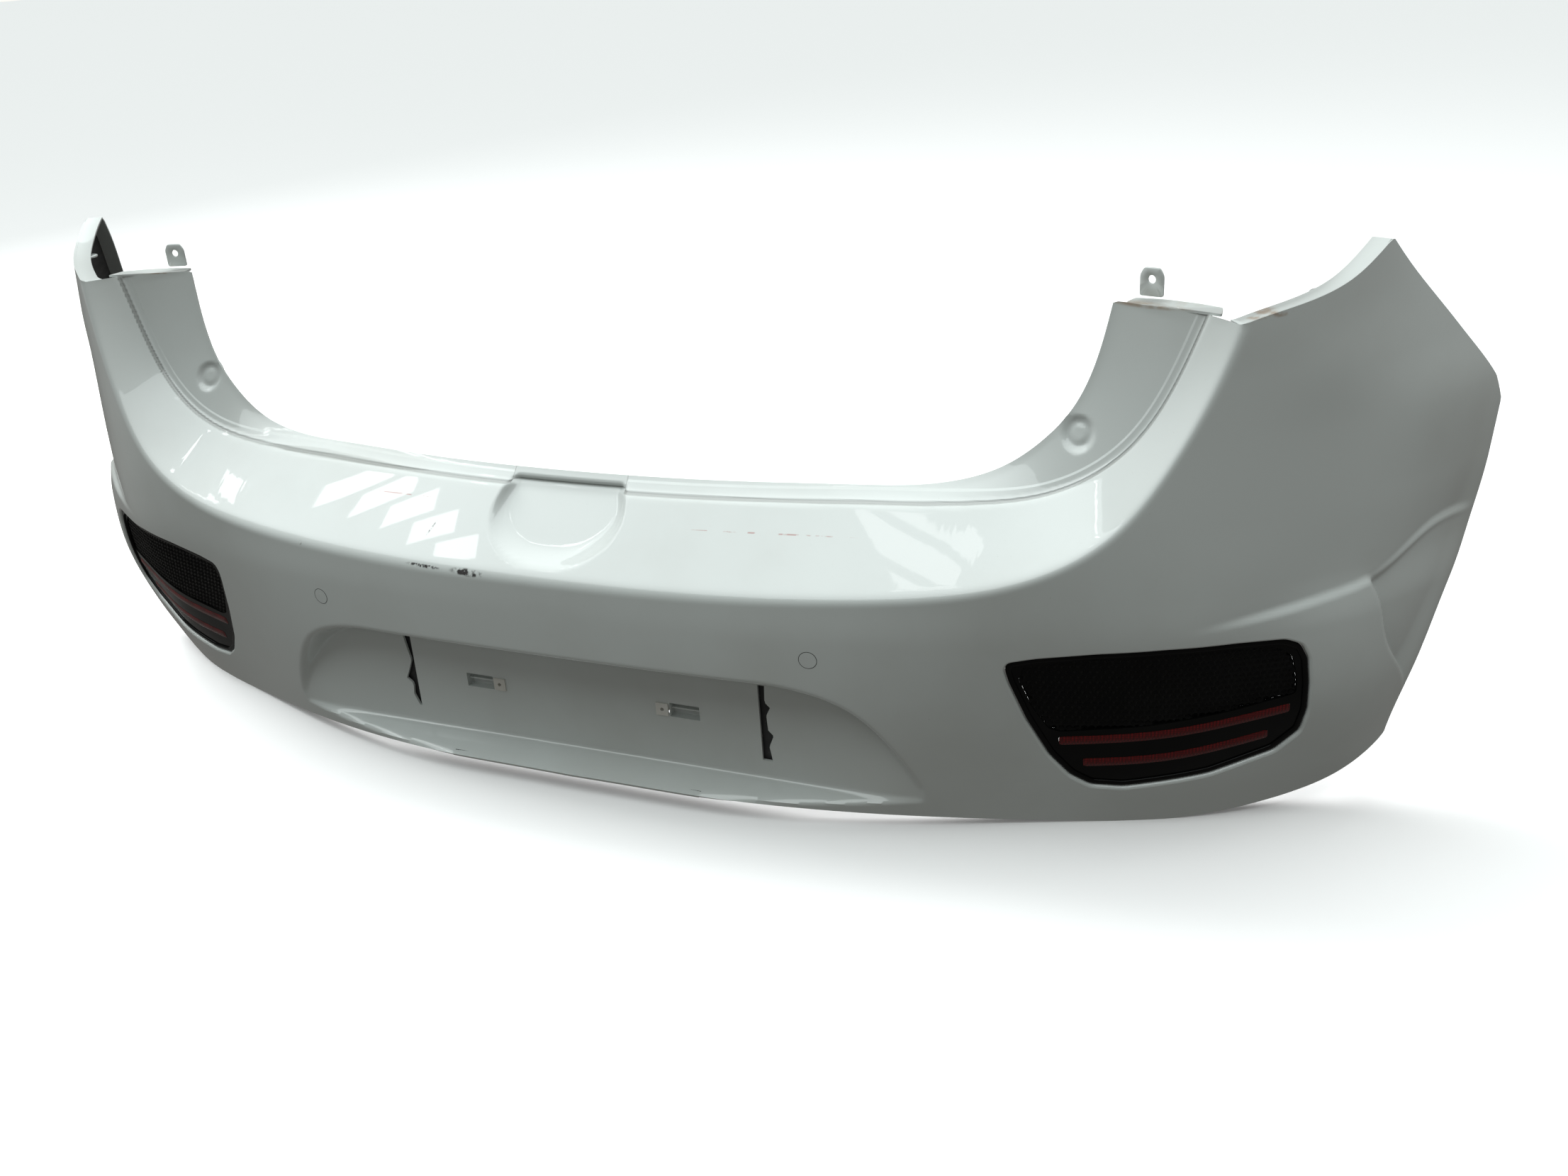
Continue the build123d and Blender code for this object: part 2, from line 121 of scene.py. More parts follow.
def splineWeights(knots, along):  # weights of the spline's points at each place along it
    bend = bendMatrix(knots)
    cell = np.clip(np.searchsorted(knots, along) - 1, 0, len(knots) - 2)
    step = knots[cell + 1] - knots[cell]
    b = (along - knots[cell]) / step
    a = 1 - b
    weights = ((a**3 - a) * step**2 / 6)[:, None] * bend[cell]
    weights += ((b**3 - b) * step**2 / 6)[:, None] * bend[cell + 1]
    rows = np.arange(len(along))
    weights[rows, cell] += a
    weights[rows, cell + 1] += b
    return weights


middleSection = sectionAt(np.array([skin["sensorHeight"]]))[0]
halfKnots = np.concatenate([[0], np.cumsum(np.linalg.norm(np.diff(middleSection, axis=0), axis=1))])
skinKnots = np.concatenate([-halfKnots[:0:-1], halfKnots])
skinReach = halfKnots[-1]


def skinPoint(along, height):  # (across, depth) of the skin at a length along its plan curve and a height
    half = sectionAt(height)
    weights = splineWeights(skinKnots, along)
    right = weights[:, 10:]
    left = weights[:, 10::-1]
    across = np.sum((right - left) * half[:, :, 0], axis=1)
    both = right + left
    both[:, 0] = weights[:, 10]
    return across, np.sum(both * half[:, :, 1], axis=1)


def alongAt(value, height, axis):  # the length along the skin where its across (0) or depth (1) has a value
    low = np.zeros(len(value))
    high = np.full(len(value), skinReach)
    for step in range(34):
        middle = (low + high) / 2
        short = skinPoint(middle, height)[axis] < value
        low = np.where(short, middle, low)
        high = np.where(short, high, middle)
    return (low + high) / 2


def curveThrough(points, count):  # a cubic spline through points, at evenly spaced shares of its chords
    points = np.array(points, float)
    knots = np.concatenate([[0], np.cumsum(np.linalg.norm(np.diff(points, axis=0), axis=1))])
    return splineWeights(knots, np.linspace(0, knots[-1], count)) @ points


def straightThrough(points, spacing):  # corners joined by straight runs of evenly spaced points
    points = np.array(points, float)
    runs = []
    for a, b in zip(points[:-1], points[1:]):
        count = max(2, int(np.linalg.norm(b - a) / spacing) + 1)
        runs.append(a + (b - a) * np.linspace(0, 1, count, endpoint=False)[:, None])
    return np.concatenate(runs + [points[-1:]])


def mirrored(points):
    flipped = np.array(points, float)[::-1].copy()
    flipped[:, 0] *= -1
    return flipped


def nearest(path, x, z, closed=False):
    # The closest place on a path: signed distance (positive on its left), share of a segment, point.
    path = np.asarray(path, float)[:, :2]
    start = path
    end = np.roll(path, -1, axis=0)
    if not closed:
        start, end = path[:-1], path[1:]
    run = end - start
    size = np.maximum(np.sum(run**2, axis=1), 1e-12)
    distance = np.empty(len(x))
    segment = np.empty(len(x), int)
    share = np.empty(len(x))
    for first in range(0, len(x), 20000):
        part = slice(first, first + 20000)
        dx = x[part, None] - start[:, 0]
        dz = z[part, None] - start[:, 1]
        t = np.clip((dx * run[:, 0] + dz * run[:, 1]) / size, 0, 1)
        gap = (dx - t * run[:, 0]) ** 2 + (dz - t * run[:, 1]) ** 2
        best = np.argmin(gap, axis=1)
        rows = np.arange(len(best))
        side = np.sign(run[best, 0] * dz[rows, best] - run[best, 1] * dx[rows, best])
        distance[part] = np.sqrt(gap[rows, best]) * np.where(side == 0, 1, side)
        segment[part] = best
        share[part] = t[rows, best]
    point = start[segment] + share[:, None] * run[segment]
    return distance, segment + share, point


def insideMask(outline, x, z):  # even-odd crossings of a closed outline
    following = np.roll(outline, -1, axis=0)
    odd = np.zeros(len(x), bool)
    for (ax, az), (bx, bz) in zip(outline, following):
        if az != bz:
            crosses = ((az > z) != (bz > z)) & (x < (bx - ax) * (z - az) / (bz - az) + ax)
            odd ^= crosses
    return odd


def insideDistance(outline, x, z):  # positive inside a closed outline
    distance = np.abs(nearest(outline, x, z, closed=True)[0])
    return np.where(insideMask(np.asarray(outline, float), x, z), distance, -distance)


def smoothMax(a, b, reach):  # the larger of two depths, with their corner rounded over a reach
    gap = np.maximum(reach - np.abs(a - b), 0) / reach
    return np.maximum(a, b) + gap**2 * reach / 4


def smoothMin(a, b, reach):
    return -smoothMax(-a, -b, reach)


def ease(value):  # 0 to 1 with level ends
    value = np.clip(value, 0, 1)
    return value * value * (3 - 2 * value)


def between(rail, place, column):  # a rail's value at a fractional place on it
    low = np.clip(place.astype(int), 0, len(rail) - 2)
    return rail[low, column] + (place - low) * (rail[low + 1, column] - rail[low, column])


# The shelf under the tailgate and the pillars: crease, groove and opening edge (across, depth, height).
shelf = {
    "crease": [(0, -11, 271), (220, -3, 273), (321, 7, 278), (408, 18, 284), (482, 30, 295),
               (544, 44, 317), (592, 62, 352), (629, 82, 402), (659, 105, 462), (683, 129, 535)],
    "groove": [(0, 69, 343), (219, 80, 344), (316, 91, 346), (392, 99, 348), (452, 106, 352),
               (503, 113, 360), (548, 120, 378), (588, 130, 409), (619, 140, 454), (653, 150, 537)],
    "opening": [(0, 90, 358), (218, 104, 358), (312, 116, 359), (378, 124, 361), (428, 131, 369),
                (468, 139, 384), (500, 147, 407), (527, 156, 437), (546, 166, 477), (561, 179, 540)],
    "creaseRound": 8.0,
    "grooveStep": 5.5,
    "grooveWidth": 3.6,
    "scoop": [(66, 353), (77, 336), (79, 318), (66, 299), (42, 286), (0, 281)],
    "scoopDepth": 14.0,
    "scoopRim": 15.0,
    "dimple": (537.0, 418.0),
    "dimpleRadius": 17.0,
}
plateRecess = {
    "depth": 47.5,
    "mouth": [(224, 186), (300, 180), (350, 160), (385, 128), (416, 82), (440, 40)],
    "floor": [(218, 163), (286, 158), (330, 141), (362, 110), (386, 76), (400, 50)],
    "mouthDepth": -30.0,
    "mouthBase": 15.0,
    "floorBase": 36.0,
    "edgeRound": 15.0,
}


def fullRail(points):  # left to right, dense, as (across, height, depth)
    half = np.array(points, float)[:, [0, 2, 1]]
    return curveThrough(np.concatenate([mirrored(half)[:-1], half]), 241)


creaseRail = fullRail(shelf["crease"])
grooveRail = fullRail(shelf["groove"])
openingRail = fullRail(shelf["opening"])


def recessOutline(points, base):
    half = curveThrough(points, 40)
    corner = np.array([(half[-1, 0], base)])
    return np.concatenate([half, corner, mirrored(corner), mirrored(half)])


scoopHalf = curveThrough(shelf["scoop"], 30)
scoopOutline = np.concatenate([scoopHalf, mirrored(scoopHalf)])
recessMouth = recessOutline(plateRecess["mouth"], plateRecess["mouthBase"])
recessFloor = recessOutline(plateRecess["floor"], plateRecess["floorBase"])


def shelfDepth(x, z):
    # Ruled from crease to groove and from groove to opening edge, by the distances to those rails.
    below, placeC, _ = nearest(creaseRail, x, z)
    toGroove, placeG, _ = nearest(grooveRail, x, z)
    toOpening, placeO, _ = nearest(openingRail, x, z)
    depthC = between(creaseRail, placeC, 2)
    depthG = between(grooveRail, placeG, 2)
    depthO = between(openingRail, placeO, 2)
    outer = depthC + (depthG - depthC) * below / np.maximum(below - toGroove, 8)
    share = np.clip(toGroove / np.maximum(toGroove - toOpening, 4), 0, 1.4)
    inner = depthG + (depthO - depthG) * share
    depth = np.where(toGroove < 0, outer, inner)
    # The ledge past the groove lies a step lower, and comes back up towards the opening edge.
    fade = np.clip(1 - share, 0, 1) ** 0.6
    depth += shelf["grooveStep"] * ease((toGroove + 0.5) / shelf["grooveWidth"]) * fade
    # The hand scoop is a flat-bottomed dish with a rounded rim, cut off square at the groove.
    near = (np.abs(x) < 90) & (z > 270) & (z < 360)
    inside = np.zeros(len(x))
    inside[near] = np.maximum(insideDistance(scoopOutline, x[near], z[near]), 0)
    fall = 1 - (1 - np.minimum(inside / shelf["scoopRim"], 1)) ** 2
    return depth + shelf["scoopDepth"] * fall * ease((9 - toGroove) / 8)


pod = {
    "ridge": [(640, 86, 243), (700, 115, 250), (745, 150, 256), (779, 178, 261), (813, 213, 268),
              (835, 242, 280), (863, 289, 300), (891, 343, 300), (905, 390, 296)],
    "ridgeStep": 5.5,
    "ridgeFade": 75.0,
    "back": [(800, 192, 292), (811, 209, 268), (822, 217, 230), (831, 226, 193), (843, 252, 155),
             (851, 274, 121), (858, 284, 96)],
    "backStep": 12.0,
    "backFade": 110.0,
    "archFade": 40.0,
}


def podShape(along, height):
    # How far the side is pushed in: above the ridge over the lamp, and behind the pod's rear crease.
    rise, place, _ = nearest(ridgePath, along, height)
    fadeIn = ease(place / (0.3 * len(ridgePath)))
    above = ease((rise + 4) / 9) * np.exp(-np.maximum(rise, 0) / pod["ridgeFade"] * 1.6)
    behind, _, _ = nearest(backPath, along, height)
    under = ease((6 - rise) / 16)
    hollow = ease((behind + 1) / 7) * np.exp(-np.maximum(behind, 0) / pod["backFade"] * 1.6)
    rim = ease(np.abs(nearest(archPath, along, height)[0]) / pod["archFade"])
    ridge = pod["ridgeStep"] * above * fadeIn * ease((along - 620) / 120)
    return rim * (ridge + pod["backStep"] * hollow * under)


def sidePath(points):  # points (across, depth, height) of the right side, as (along, height)
    points = curveThrough(points, 60)
    flat = np.stack([alongAt(points[:, 1], points[:, 2], 1), points[:, 2]], axis=1)
    return flat


ridgePath = sidePath(pod["ridge"])
backPath = sidePath(pod["back"])


def coverPoint(along, height):
    # The cover's outer face: the skin, pushed in where the shelf, the recess and the dimples lie deeper.
    x, depth = skinPoint(along, height)
    central = np.abs(x) < 720
    cx, cz, d = x[central], height[central], depth[central]
    d = smoothMax(d, shelfDepth(cx, cz), shelf["creaseRound"])
    radius = np.hypot(np.abs(cx) - shelf["dimple"][0], cz - shelf["dimple"][1])
    d += 3.6 * ease((shelf["dimpleRadius"] - radius) / 5) - 1.4 * ease((9.5 - radius) / 3)
    near = (np.abs(cx) < 480) & (cz < 220)
    mouth = insideDistance(recessMouth, cx[near], cz[near])
    floor = -insideDistance(recessFloor, cx[near], cz[near])
    fall = plateRecess["depth"] - plateRecess["mouthDepth"]
    wallDepth = plateRecess["depth"] - fall * floor / np.maximum(floor + mouth, 6)
    sunk = smoothMin(wallDepth, np.full(near.sum(), plateRecess["depth"]), 10)
    d[near] = smoothMax(d[near], sunk, plateRecess["edgeRound"])
    depth[central] = d
    point = np.stack([x, depth - skin["midDepth"], height], axis=1)
    side = np.abs(along) > 620
    if side.any():
        push = podShape(np.abs(along[side]), height[side])
        plain = skinInset(along[side], height[side], 0.0)
        point[side] += skinInset(along[side], height[side], push) - plain
    return point


# The cover's own edges: from behind (across, height) and from the side (depth, height).
edges = {
    "bottom": [(0, 24), (220, 22), (320, 18), (428, 11), (530, 3), (640, 0.3), (690, 5), (728, 12),
               (776, 27), (834, 61)],
    "arch": [(276, 66), (280, 121), (290, 153), (310, 202), (351, 273), (375, 351), (391, 401)],
    "quarter": [(391, 401), (382, 427), (262, 586)],
    "seam": [(798, 586), (788, 576), (771, 562), (738, 549), (703, 541), (683, 535)],
    "cell": 2.6,
    "centreReach": 430.0,
    "flange": 19.0,
    "flangeThick": 2.6,
    "flangeLift": 0.3,
}


def unrolled(points, axis):  # rear or side view points on the skin, as (along, height)
    return np.stack([alongAt(points[:, 0], points[:, 1], axis), points[:, 1]], axis=1)


bottomPath = unrolled(curveThrough(edges["bottom"], 120), 0)
archPath = unrolled(curveThrough(edges["arch"], 60), 1)
quarterPath = unrolled(straightThrough(edges["quarter"], 8), 1)
seamPath = unrolled(curveThrough(edges["seam"], 30), 0)
pillarPath = unrolled(np.array([(683, 535), (653, 537), (600, 539), (561, 540)], float), 0)
openingHalf = openingRail[120:, :2][::-1]
openingPath = unrolled(openingHalf, 0)
halfOutline = np.concatenate([bottomPath, archPath, quarterPath[1:], seamPath[1:], pillarPath[1:],
                              openingPath[1:]])
coverOutline = np.concatenate([halfOutline, mirrored(halfOutline)[1:-1]])


def roundedLoop(points, spacing=1.5, blur=3):  # a closed outline with its corners softened
    points = np.array(points, float)
    loop = straightThrough(np.concatenate([points, points[:1]]), spacing)[:-1]
    for step in range(blur * blur):
        loop = (np.roll(loop, 1, axis=0) + 2 * loop + np.roll(loop, -1, axis=0)) / 4
    return loop


def offsetLoop(loop, amount):  # a closed counter-clockwise loop moved outwards along its normals
    run = np.roll(loop, -2, axis=0) - np.roll(loop, 2, axis=0)
    run /= np.linalg.norm(run, axis=1)[:, None]
    return loop + amount * np.stack([run[:, 1], -run[:, 0]], axis=1)


def circleLoop(x, z, radius, count=48):
    angle = np.linspace(0, 2 * math.pi, count, endpoint=False)
    return np.stack([x + radius * np.cos(angle), z + radius * np.sin(angle)], axis=1)


def boxLoop(x, z, width, height):
    w, h = width / 2, height / 2
    corners = [(x - w, z - h), (x + w, z - h), (x + w, z + h), (x - w, z + h), (x - w, z - h)]
    return straightThrough(corners, 2)[:-1]


lampOpening = {
    "outline": [(491, 205), (494, 190), (508, 144), (528, 96), (547, 68), (566, 54), (598, 51), (680, 65),
                (738, 87), (761, 111), (767, 138), (767, 170), (764, 200), (757, 216), (742, 224),
                (700, 227), (640, 228), (578, 225), (520, 219), (494, 214)],
    "edgeRadius": 3.0,
    "meshOutline": [(503, 192), (513, 160), (529, 128), (540, 124), (620, 131), (700, 144), (757, 158),
                    (757, 175), (752, 202), (738, 215), (700, 219), (640, 220), (578, 217), (508, 207)],
    "strips": [((538, 112), (752, 141)), ((560, 83), (733, 109))],
    "stripBow": 5.0,
    "stripHeight": 11.0,
}
plateSlots = {
    "right": [(222, 150), (222, 58), (234, 58), (231, 76), (237, 90), (231, 96), (230, 114), (235, 124),
              (229, 130), (230, 150)],
    "left": [(-222, 150), (-232, 150), (-229, 132), (-226, 118), (-231, 106), (-237, 93), (-229, 86),
             (-231, 72), (-225, 58), (-222, 58)],
    "windowPlace": 132.0,
    "windowSize": (36.0, 17.0),
    "nutPlace": 105.0,
    "nutSize": 9.2,
    "height": 103.5,
    "sensorPlace": 301.0,
    "sensorRadius": 9.6,
}
bezelLoop = roundedLoop(lampOpening["outline"])
bezelPath = unrolled(bezelLoop, 0)


def gridFaces(rows, columns, closeColumns=False, closeRows=False):
    index = np.arange(rows * columns).reshape(rows, columns)
    if closeColumns:
        index = np.concatenate([index, index[:, :1]], axis=1)
    if closeRows:
        index = np.concatenate([index, index[:1]], axis=0)
    return np.stack([index[:-1, :-1], index[:-1, 1:], index[1:, 1:], index[1:, :-1]], axis=-1).reshape(-1, 4)


def cutGrid(alongs, heights, outline, holes):
    # A grid of cells inside an outline and outside some holes, its border pulled onto those lines.
    u, z = np.meshgrid(alongs, heights)
    shape = u.shape
    u, z = u.ravel().copy(), z.ravel().copy()
    allowed = insideMask(outline, u, z)
    for hole in holes:
        low, high = hole.min(axis=0) - 1, hole.max(axis=0) + 1
        near = (u > low[0]) & (u < high[0]) & (z > low[1]) & (z < high[1])
        allowed[near] &= ~insideMask(hole, u[near], z[near])
    corners = gridFaces(*shape)
    kept = allowed[corners].all(axis=1)
    uses = np.bincount(corners[kept].ravel(), minlength=len(u))
    border = np.nonzero((uses > 0) & (uses < 4))[0]
    inner = (u[border] > alongs[0]) & (u[border] < alongs[-1])
    border = border[inner]
    best = np.full(len(border), np.inf)
    target = np.stack([u[border], z[border]], axis=1)
    for line in [outline] + holes:
        distance, _, point = nearest(line, u[border], z[border], closed=True)
        closer = np.abs(distance) < best
        best[closer] = np.abs(distance)[closer]
        target[closer] = point[closer]
    u[border], z[border] = target[:, 0], target[:, 1]
    faces = corners[kept]
    column = (faces[:, 0] % shape[1])
    faces = faces[(column > 0) & (column < shape[1] - 2)]
    used, compact = np.unique(faces, return_inverse=True)
    return u[used], z[used], compact.reshape(-1, 4)


def faceNormals(points, faces):
    return np.cross(points[faces[:, 2]] - points[faces[:, 0]], points[faces[:, 3]] - points[faces[:, 1]])


def vertexNormals(points, faces):
    normals = faceNormals(points, faces)
    total = np.zeros_like(points)
    for k in range(4):
        for axis in range(3):
            total[:, axis] += np.bincount(faces[:, k], normals[:, axis], minlength=len(points))
    return total / np.maximum(np.linalg.norm(total, axis=1), 1e-9)[:, None]


def closedShell(points, faces, thickness):
    # The sheet, a copy of it moved inwards by the thickness, and a rim of quads round every border.
    back = points - thickness * vertexNormals(points, faces)
    count = len(points)
    around = np.concatenate([faces[:, [k, (k + 1) % 4]] for k in range(4)])
    ordered = np.sort(around, axis=1)
    code = ordered[:, 0] * count + ordered[:, 1]
    _, first, times = np.unique(code, return_index=True, return_counts=True)
    rim = around[first[times == 1]]
    rimFaces = np.stack([rim[:, 1], rim[:, 0], rim[:, 0] + count, rim[:, 1] + count], axis=1)
    everything = np.concatenate([faces, faces[:, ::-1] + count, rimFaces])
    slots = np.repeat([0, 1, 0], [len(faces), len(faces), len(rimFaces)])
    return np.concatenate([points, back]), everything, slots


def makePiece(name, points, faces, materials, slots=None, sharp=48, replaced=(), groove=None):
    # Points in millimetres of the frame; the piece rides on the cover and takes its finish from a slot.
    mesh = bpy.data.meshes.new(name)
    inBox = np.clip(np.asarray(points) / 1000, *np.array([list(corner) for corner in cadBox]))
    mesh.from_pydata(inBox.tolist(), [], np.asarray(faces).tolist())
    mesh.polygons.foreach_set("use_smooth", np.ones(len(mesh.polygons), bool))
    for material in materials:
        mesh.materials.append(material)
    if slots is not None:
        mesh.polygons.foreach_set("material_index", slots.astype(np.int32))
    if groove is not None:
        values = mesh.attributes.new("pastGroove", "FLOAT", "POINT").data
        values.foreach_set("value", groove.astype(np.float32))
    mesh.update()
    mesh.set_sharp_from_angle(angle=math.radians(sharp))
    piece = bpy.data.objects.new(name, mesh)
    bpy.context.scene.collection.objects.link(piece)
    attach(piece, "cover")
    if replaced:
        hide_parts(*replaced)
    return piece


def makePair(name, points, faces, materials, slots=None, sharp=48, replaced=(), groove=None):
    # The right piece, and its mirror image with the faces turned round.
    def names(side):
        return [f"{node}_{side}" if f"{node}_{side}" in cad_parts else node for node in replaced]

    right = makePiece(f"{name}Right", points, faces, materials, slots, sharp,
                      names("right"), groove)
    flipped = np.asarray(points) * np.array([-1, 1, 1])
    left = makePiece(f"{name}Left", flipped, np.asarray(faces)[:, ::-1], materials, slots, sharp,
                     names("left"), groove)
    return right, left


def skinInset(along, height, inset):  # a point of the skin moved inwards along its normal
    x, depth = skinPoint(along, height)
    xa, da = skinPoint(along + 0.5, height)
    xh, dh = skinPoint(along, height + 0.5)
    a = np.stack([xa - x, da - depth, np.zeros_like(x)], axis=1)
    b = np.stack([xh - x, dh - depth, np.full_like(x, 0.5)], axis=1)
    normal = np.cross(a, b)
    normal /= np.linalg.norm(normal, axis=1)[:, None]
    point = np.stack([x, depth - skin["midDepth"], height], axis=1)
    return point - np.asarray(inset)[..., None] * normal if np.ndim(inset) else point - inset * normal


def nodeMaterial(name):
    material = bpy.data.materials.new(name)
    material.use_nodes = True
    tree = material.node_tree
    coords = tree.nodes.new("ShaderNodeTexCoord")
    return material, tree, tree.nodes["Principled BSDF"], coords.outputs["Object"]


def noise(tree, coords, scale, detail=4, stretch=(1, 1, 1), rough=0.55):
    mapping = tree.nodes.new("ShaderNodeMapping")
    mapping.inputs["Scale"].default_value = stretch
    texture = tree.nodes.new("ShaderNodeTexNoise")
    texture.inputs["Scale"].default_value = scale
    texture.inputs["Detail"].default_value = detail
    texture.inputs["Roughness"].default_value = rough
    tree.links.new(coords, mapping.inputs["Vector"])
    tree.links.new(mapping.outputs["Vector"], texture.inputs["Vector"])
    return texture.outputs["Fac"]


def remap(tree, value, low, high, toLow=0.0, toHigh=1.0):
    node = tree.nodes.new("ShaderNodeMapRange")
    node.interpolation_type = "SMOOTHSTEP"
    node.inputs["From Min"].default_value = low
    node.inputs["From Max"].default_value = high
    node.inputs["To Min"].default_value = toLow
    node.inputs["To Max"].default_value = toHigh
    tree.links.new(value, node.inputs["Value"])
    return node.outputs["Result"]


def mathNode(tree, operation, a, b):
    node = tree.nodes.new("ShaderNodeMath")
    node.operation = operation
    for socket, value in zip(node.inputs, (a, b)):
        if isinstance(value, (int, float)):
            socket.default_value = value
        else:
            tree.links.new(value, socket)
    return node.outputs["Value"]


def mixColour(tree, share, a, b):
    node = tree.nodes.new("ShaderNodeMix")
    node.data_type = "RGBA"
    tree.links.new(share, node.inputs["Factor"])
    for socket, value in ((node.inputs["A"], a), (node.inputs["B"], b)):
        if isinstance(value, tuple):
            socket.default_value = (*value, 1)
        else:
            tree.links.new(value, socket)
    return node.outputs["Result"]


def bump(tree, shader, height, strength, distance):
    node = tree.nodes.new("ShaderNodeBump")
    node.inputs["Strength"].default_value = strength
    node.inputs["Distance"].default_value = distance
    tree.links.new(height, node.inputs["Height"])
    tree.links.new(node.outputs["Normal"], shader.inputs["Normal"])


def stroke(tree, coords, place, size, turn=(0, 0, 0), grain=260, low=0.42, high=0.6):
    # A ragged mark: one inside an ellipsoid at a place, broken up by noise.
    mapping = tree.nodes.new("ShaderNodeMapping")
    mapping.vector_type = "TEXTURE"
    mapping.inputs["Location"].default_value = place
    mapping.inputs["Rotation"].default_value = [math.radians(a) for a in turn]
    mapping.inputs["Scale"].default_value = size
    length = tree.nodes.new("ShaderNodeVectorMath")
    length.operation = "LENGTH"
    tree.links.new(coords, mapping.inputs["Vector"])
    tree.links.new(mapping.outputs["Vector"], length.inputs[0])
    body = remap(tree, length.outputs["Value"], 0.55, 1.0, 1.0, 0.0)
    broken = remap(tree, noise(tree, coords, grain, 3), low, high)
    return mathNode(tree, "MULTIPLY", body, broken)


paint = {
    "colour": (0.575, 0.615, 0.60),
    "dull": (0.52, 0.55, 0.53),
    "roughness": (0.3, 0.45),
    "coat": 1.0,
    "coatRoughness": 0.02,
    "scuffs": [  # place, half size, turn about Y and Z, colour
        ((-0.084, -0.196, 0.270), (0.026, 0.008, 0.0050), (0, 2, 0), 150),
        ((-0.140, -0.193, 0.271), (0.030, 0.008, 0.0024), (0, 2, 0), 260),
        ((-0.150, -0.160, 0.298), (0.016, 0.012, 0.0014), (0, -60, 0), 220),
        ((0.640, -0.078, 0.263), (0.010, 0.009, 0.0035), (0, -35, 25), 200),
        ((0.752, 0.052, 0.520), (0.004, 0.035, 0.014), (42, 0, 0), 240),
        ((-0.318, -0.184, 0.276), (0.0035, 0.006, 0.0035), (0, 0, 0), 120),
        ((-0.126, -0.150, 0.325), (0.0045, 0.01, 0.003), (0, 20, 0), 120),
    ],
    "redLines": [
        ((0.250, -0.134, 0.322), (0.150, 0.012, 0.0007), (0, -0.8, 0), 60),
        ((-0.200, -0.128, 0.326), (0.060, 0.012, 0.0007), (0, -0.6, 0), 80),
    ],
    "grime": [
        ((0.600, -0.020, 0.541), (0.060, 0.030, 0.006), (0, 0, 0), 40),
        ((-0.600, -0.020, 0.541), (0.050, 0.030, 0.004), (0, 0, 0), 60),
        ((0.690, -0.040, 0.541), (0.040, 0.030, 0.004), (0, 0, 0), 60),
    ],
}


def makePaint():
    material, tree, shader, coords = nodeMaterial("whitePaint")
    cloudy = remap(tree, noise(tree, coords, 3.5, 5), 0.4, 0.75)
    colour = mixColour(tree, cloudy, paint["colour"], paint["dull"])
    dust = remap(tree, noise(tree, coords, 420, 2), 0.72, 0.82)
    colour = mixColour(tree, mathNode(tree, "MULTIPLY", dust, 0.35), colour, (0.35, 0.33, 0.3))
    for place, size, turn, grain in paint["redLines"]:
        mask = stroke(tree, coords, place, size, turn, grain, 0.46, 0.56)
        mask = mathNode(tree, "MULTIPLY", mask, 0.8)
        colour = mixColour(tree, mask, colour, (0.36, 0.16, 0.14))
    for place, size, turn, grain in paint["grime"]:
        mask = stroke(tree, coords, place, size, turn, grain, 0.4, 0.62)
        mask = mathNode(tree, "MULTIPLY", mask, 0.75)
        colour = mixColour(tree, mask, colour, (0.30, 0.20, 0.12))
    worn = None
    for place, size, turn, grain in paint["scuffs"]:
        mask = stroke(tree, coords, place, size, turn, grain)
        colour = mixColour(tree, mask, colour, (0.028, 0.026, 0.026))
        worn = mask if worn is None else mathNode(tree, "MAXIMUM", worn, mask)
    # The groove is a fine moulded line with a dark band of painted shade along it, and a second, softer step
    # further in.
    past = tree.nodes.new("ShaderNodeAttribute")
    past.attribute_name = "pastGroove"
    # Painted shade: the paint is darkened in a thin band along the groove line, standing in for the groove's
    # shadow.
    grooveShade = mathNode(tree, "MULTIPLY", remap(tree, past.outputs["Fac"], 99.8, 100.8),
                    remap(tree, past.outputs["Fac"], 101.6, 102.6, 0.5, 0.0))
    colour = mixColour(tree, grooveShade, colour, (0.12, 0.12, 0.11))
    tree.links.new(colour, shader.inputs["Base Color"])
    scratches = remap(tree, noise(tree, coords, 30, 6, (1, 1, 22), 0.7), 0.5, 0.8)
    roughness = remap(tree, scratches, 0, 1, *paint["roughness"])
    tree.links.new(mathNode(tree, "MAXIMUM", roughness, mathNode(tree, "MULTIPLY", worn, 0.6)),
              shader.inputs["Roughness"])
    shader.inputs["Coat Weight"].default_value = paint["coat"]
    shader.inputs["Coat Roughness"].default_value = paint["coatRoughness"]
    shader.inputs["IOR"].default_value = 1.5
    lineIn = remap(tree, past.outputs["Fac"], 99.6, 101.0, 1.0, 0.0)
    lineOut = remap(tree, past.outputs["Fac"], 101.4, 103.0)
    second = remap(tree, past.outputs["Fac"], 109.0, 111.5, 0.0, -0.8)
    line = mathNode(tree, "ADD", mathNode(tree, "MAXIMUM", lineIn, lineOut), second)
    peel = mathNode(tree, "MULTIPLY", noise(tree, coords, 260, 2), 0.02)
    bump(tree, shader, mathNode(tree, "ADD", line, peel), 1.0, 0.0016)
    return material


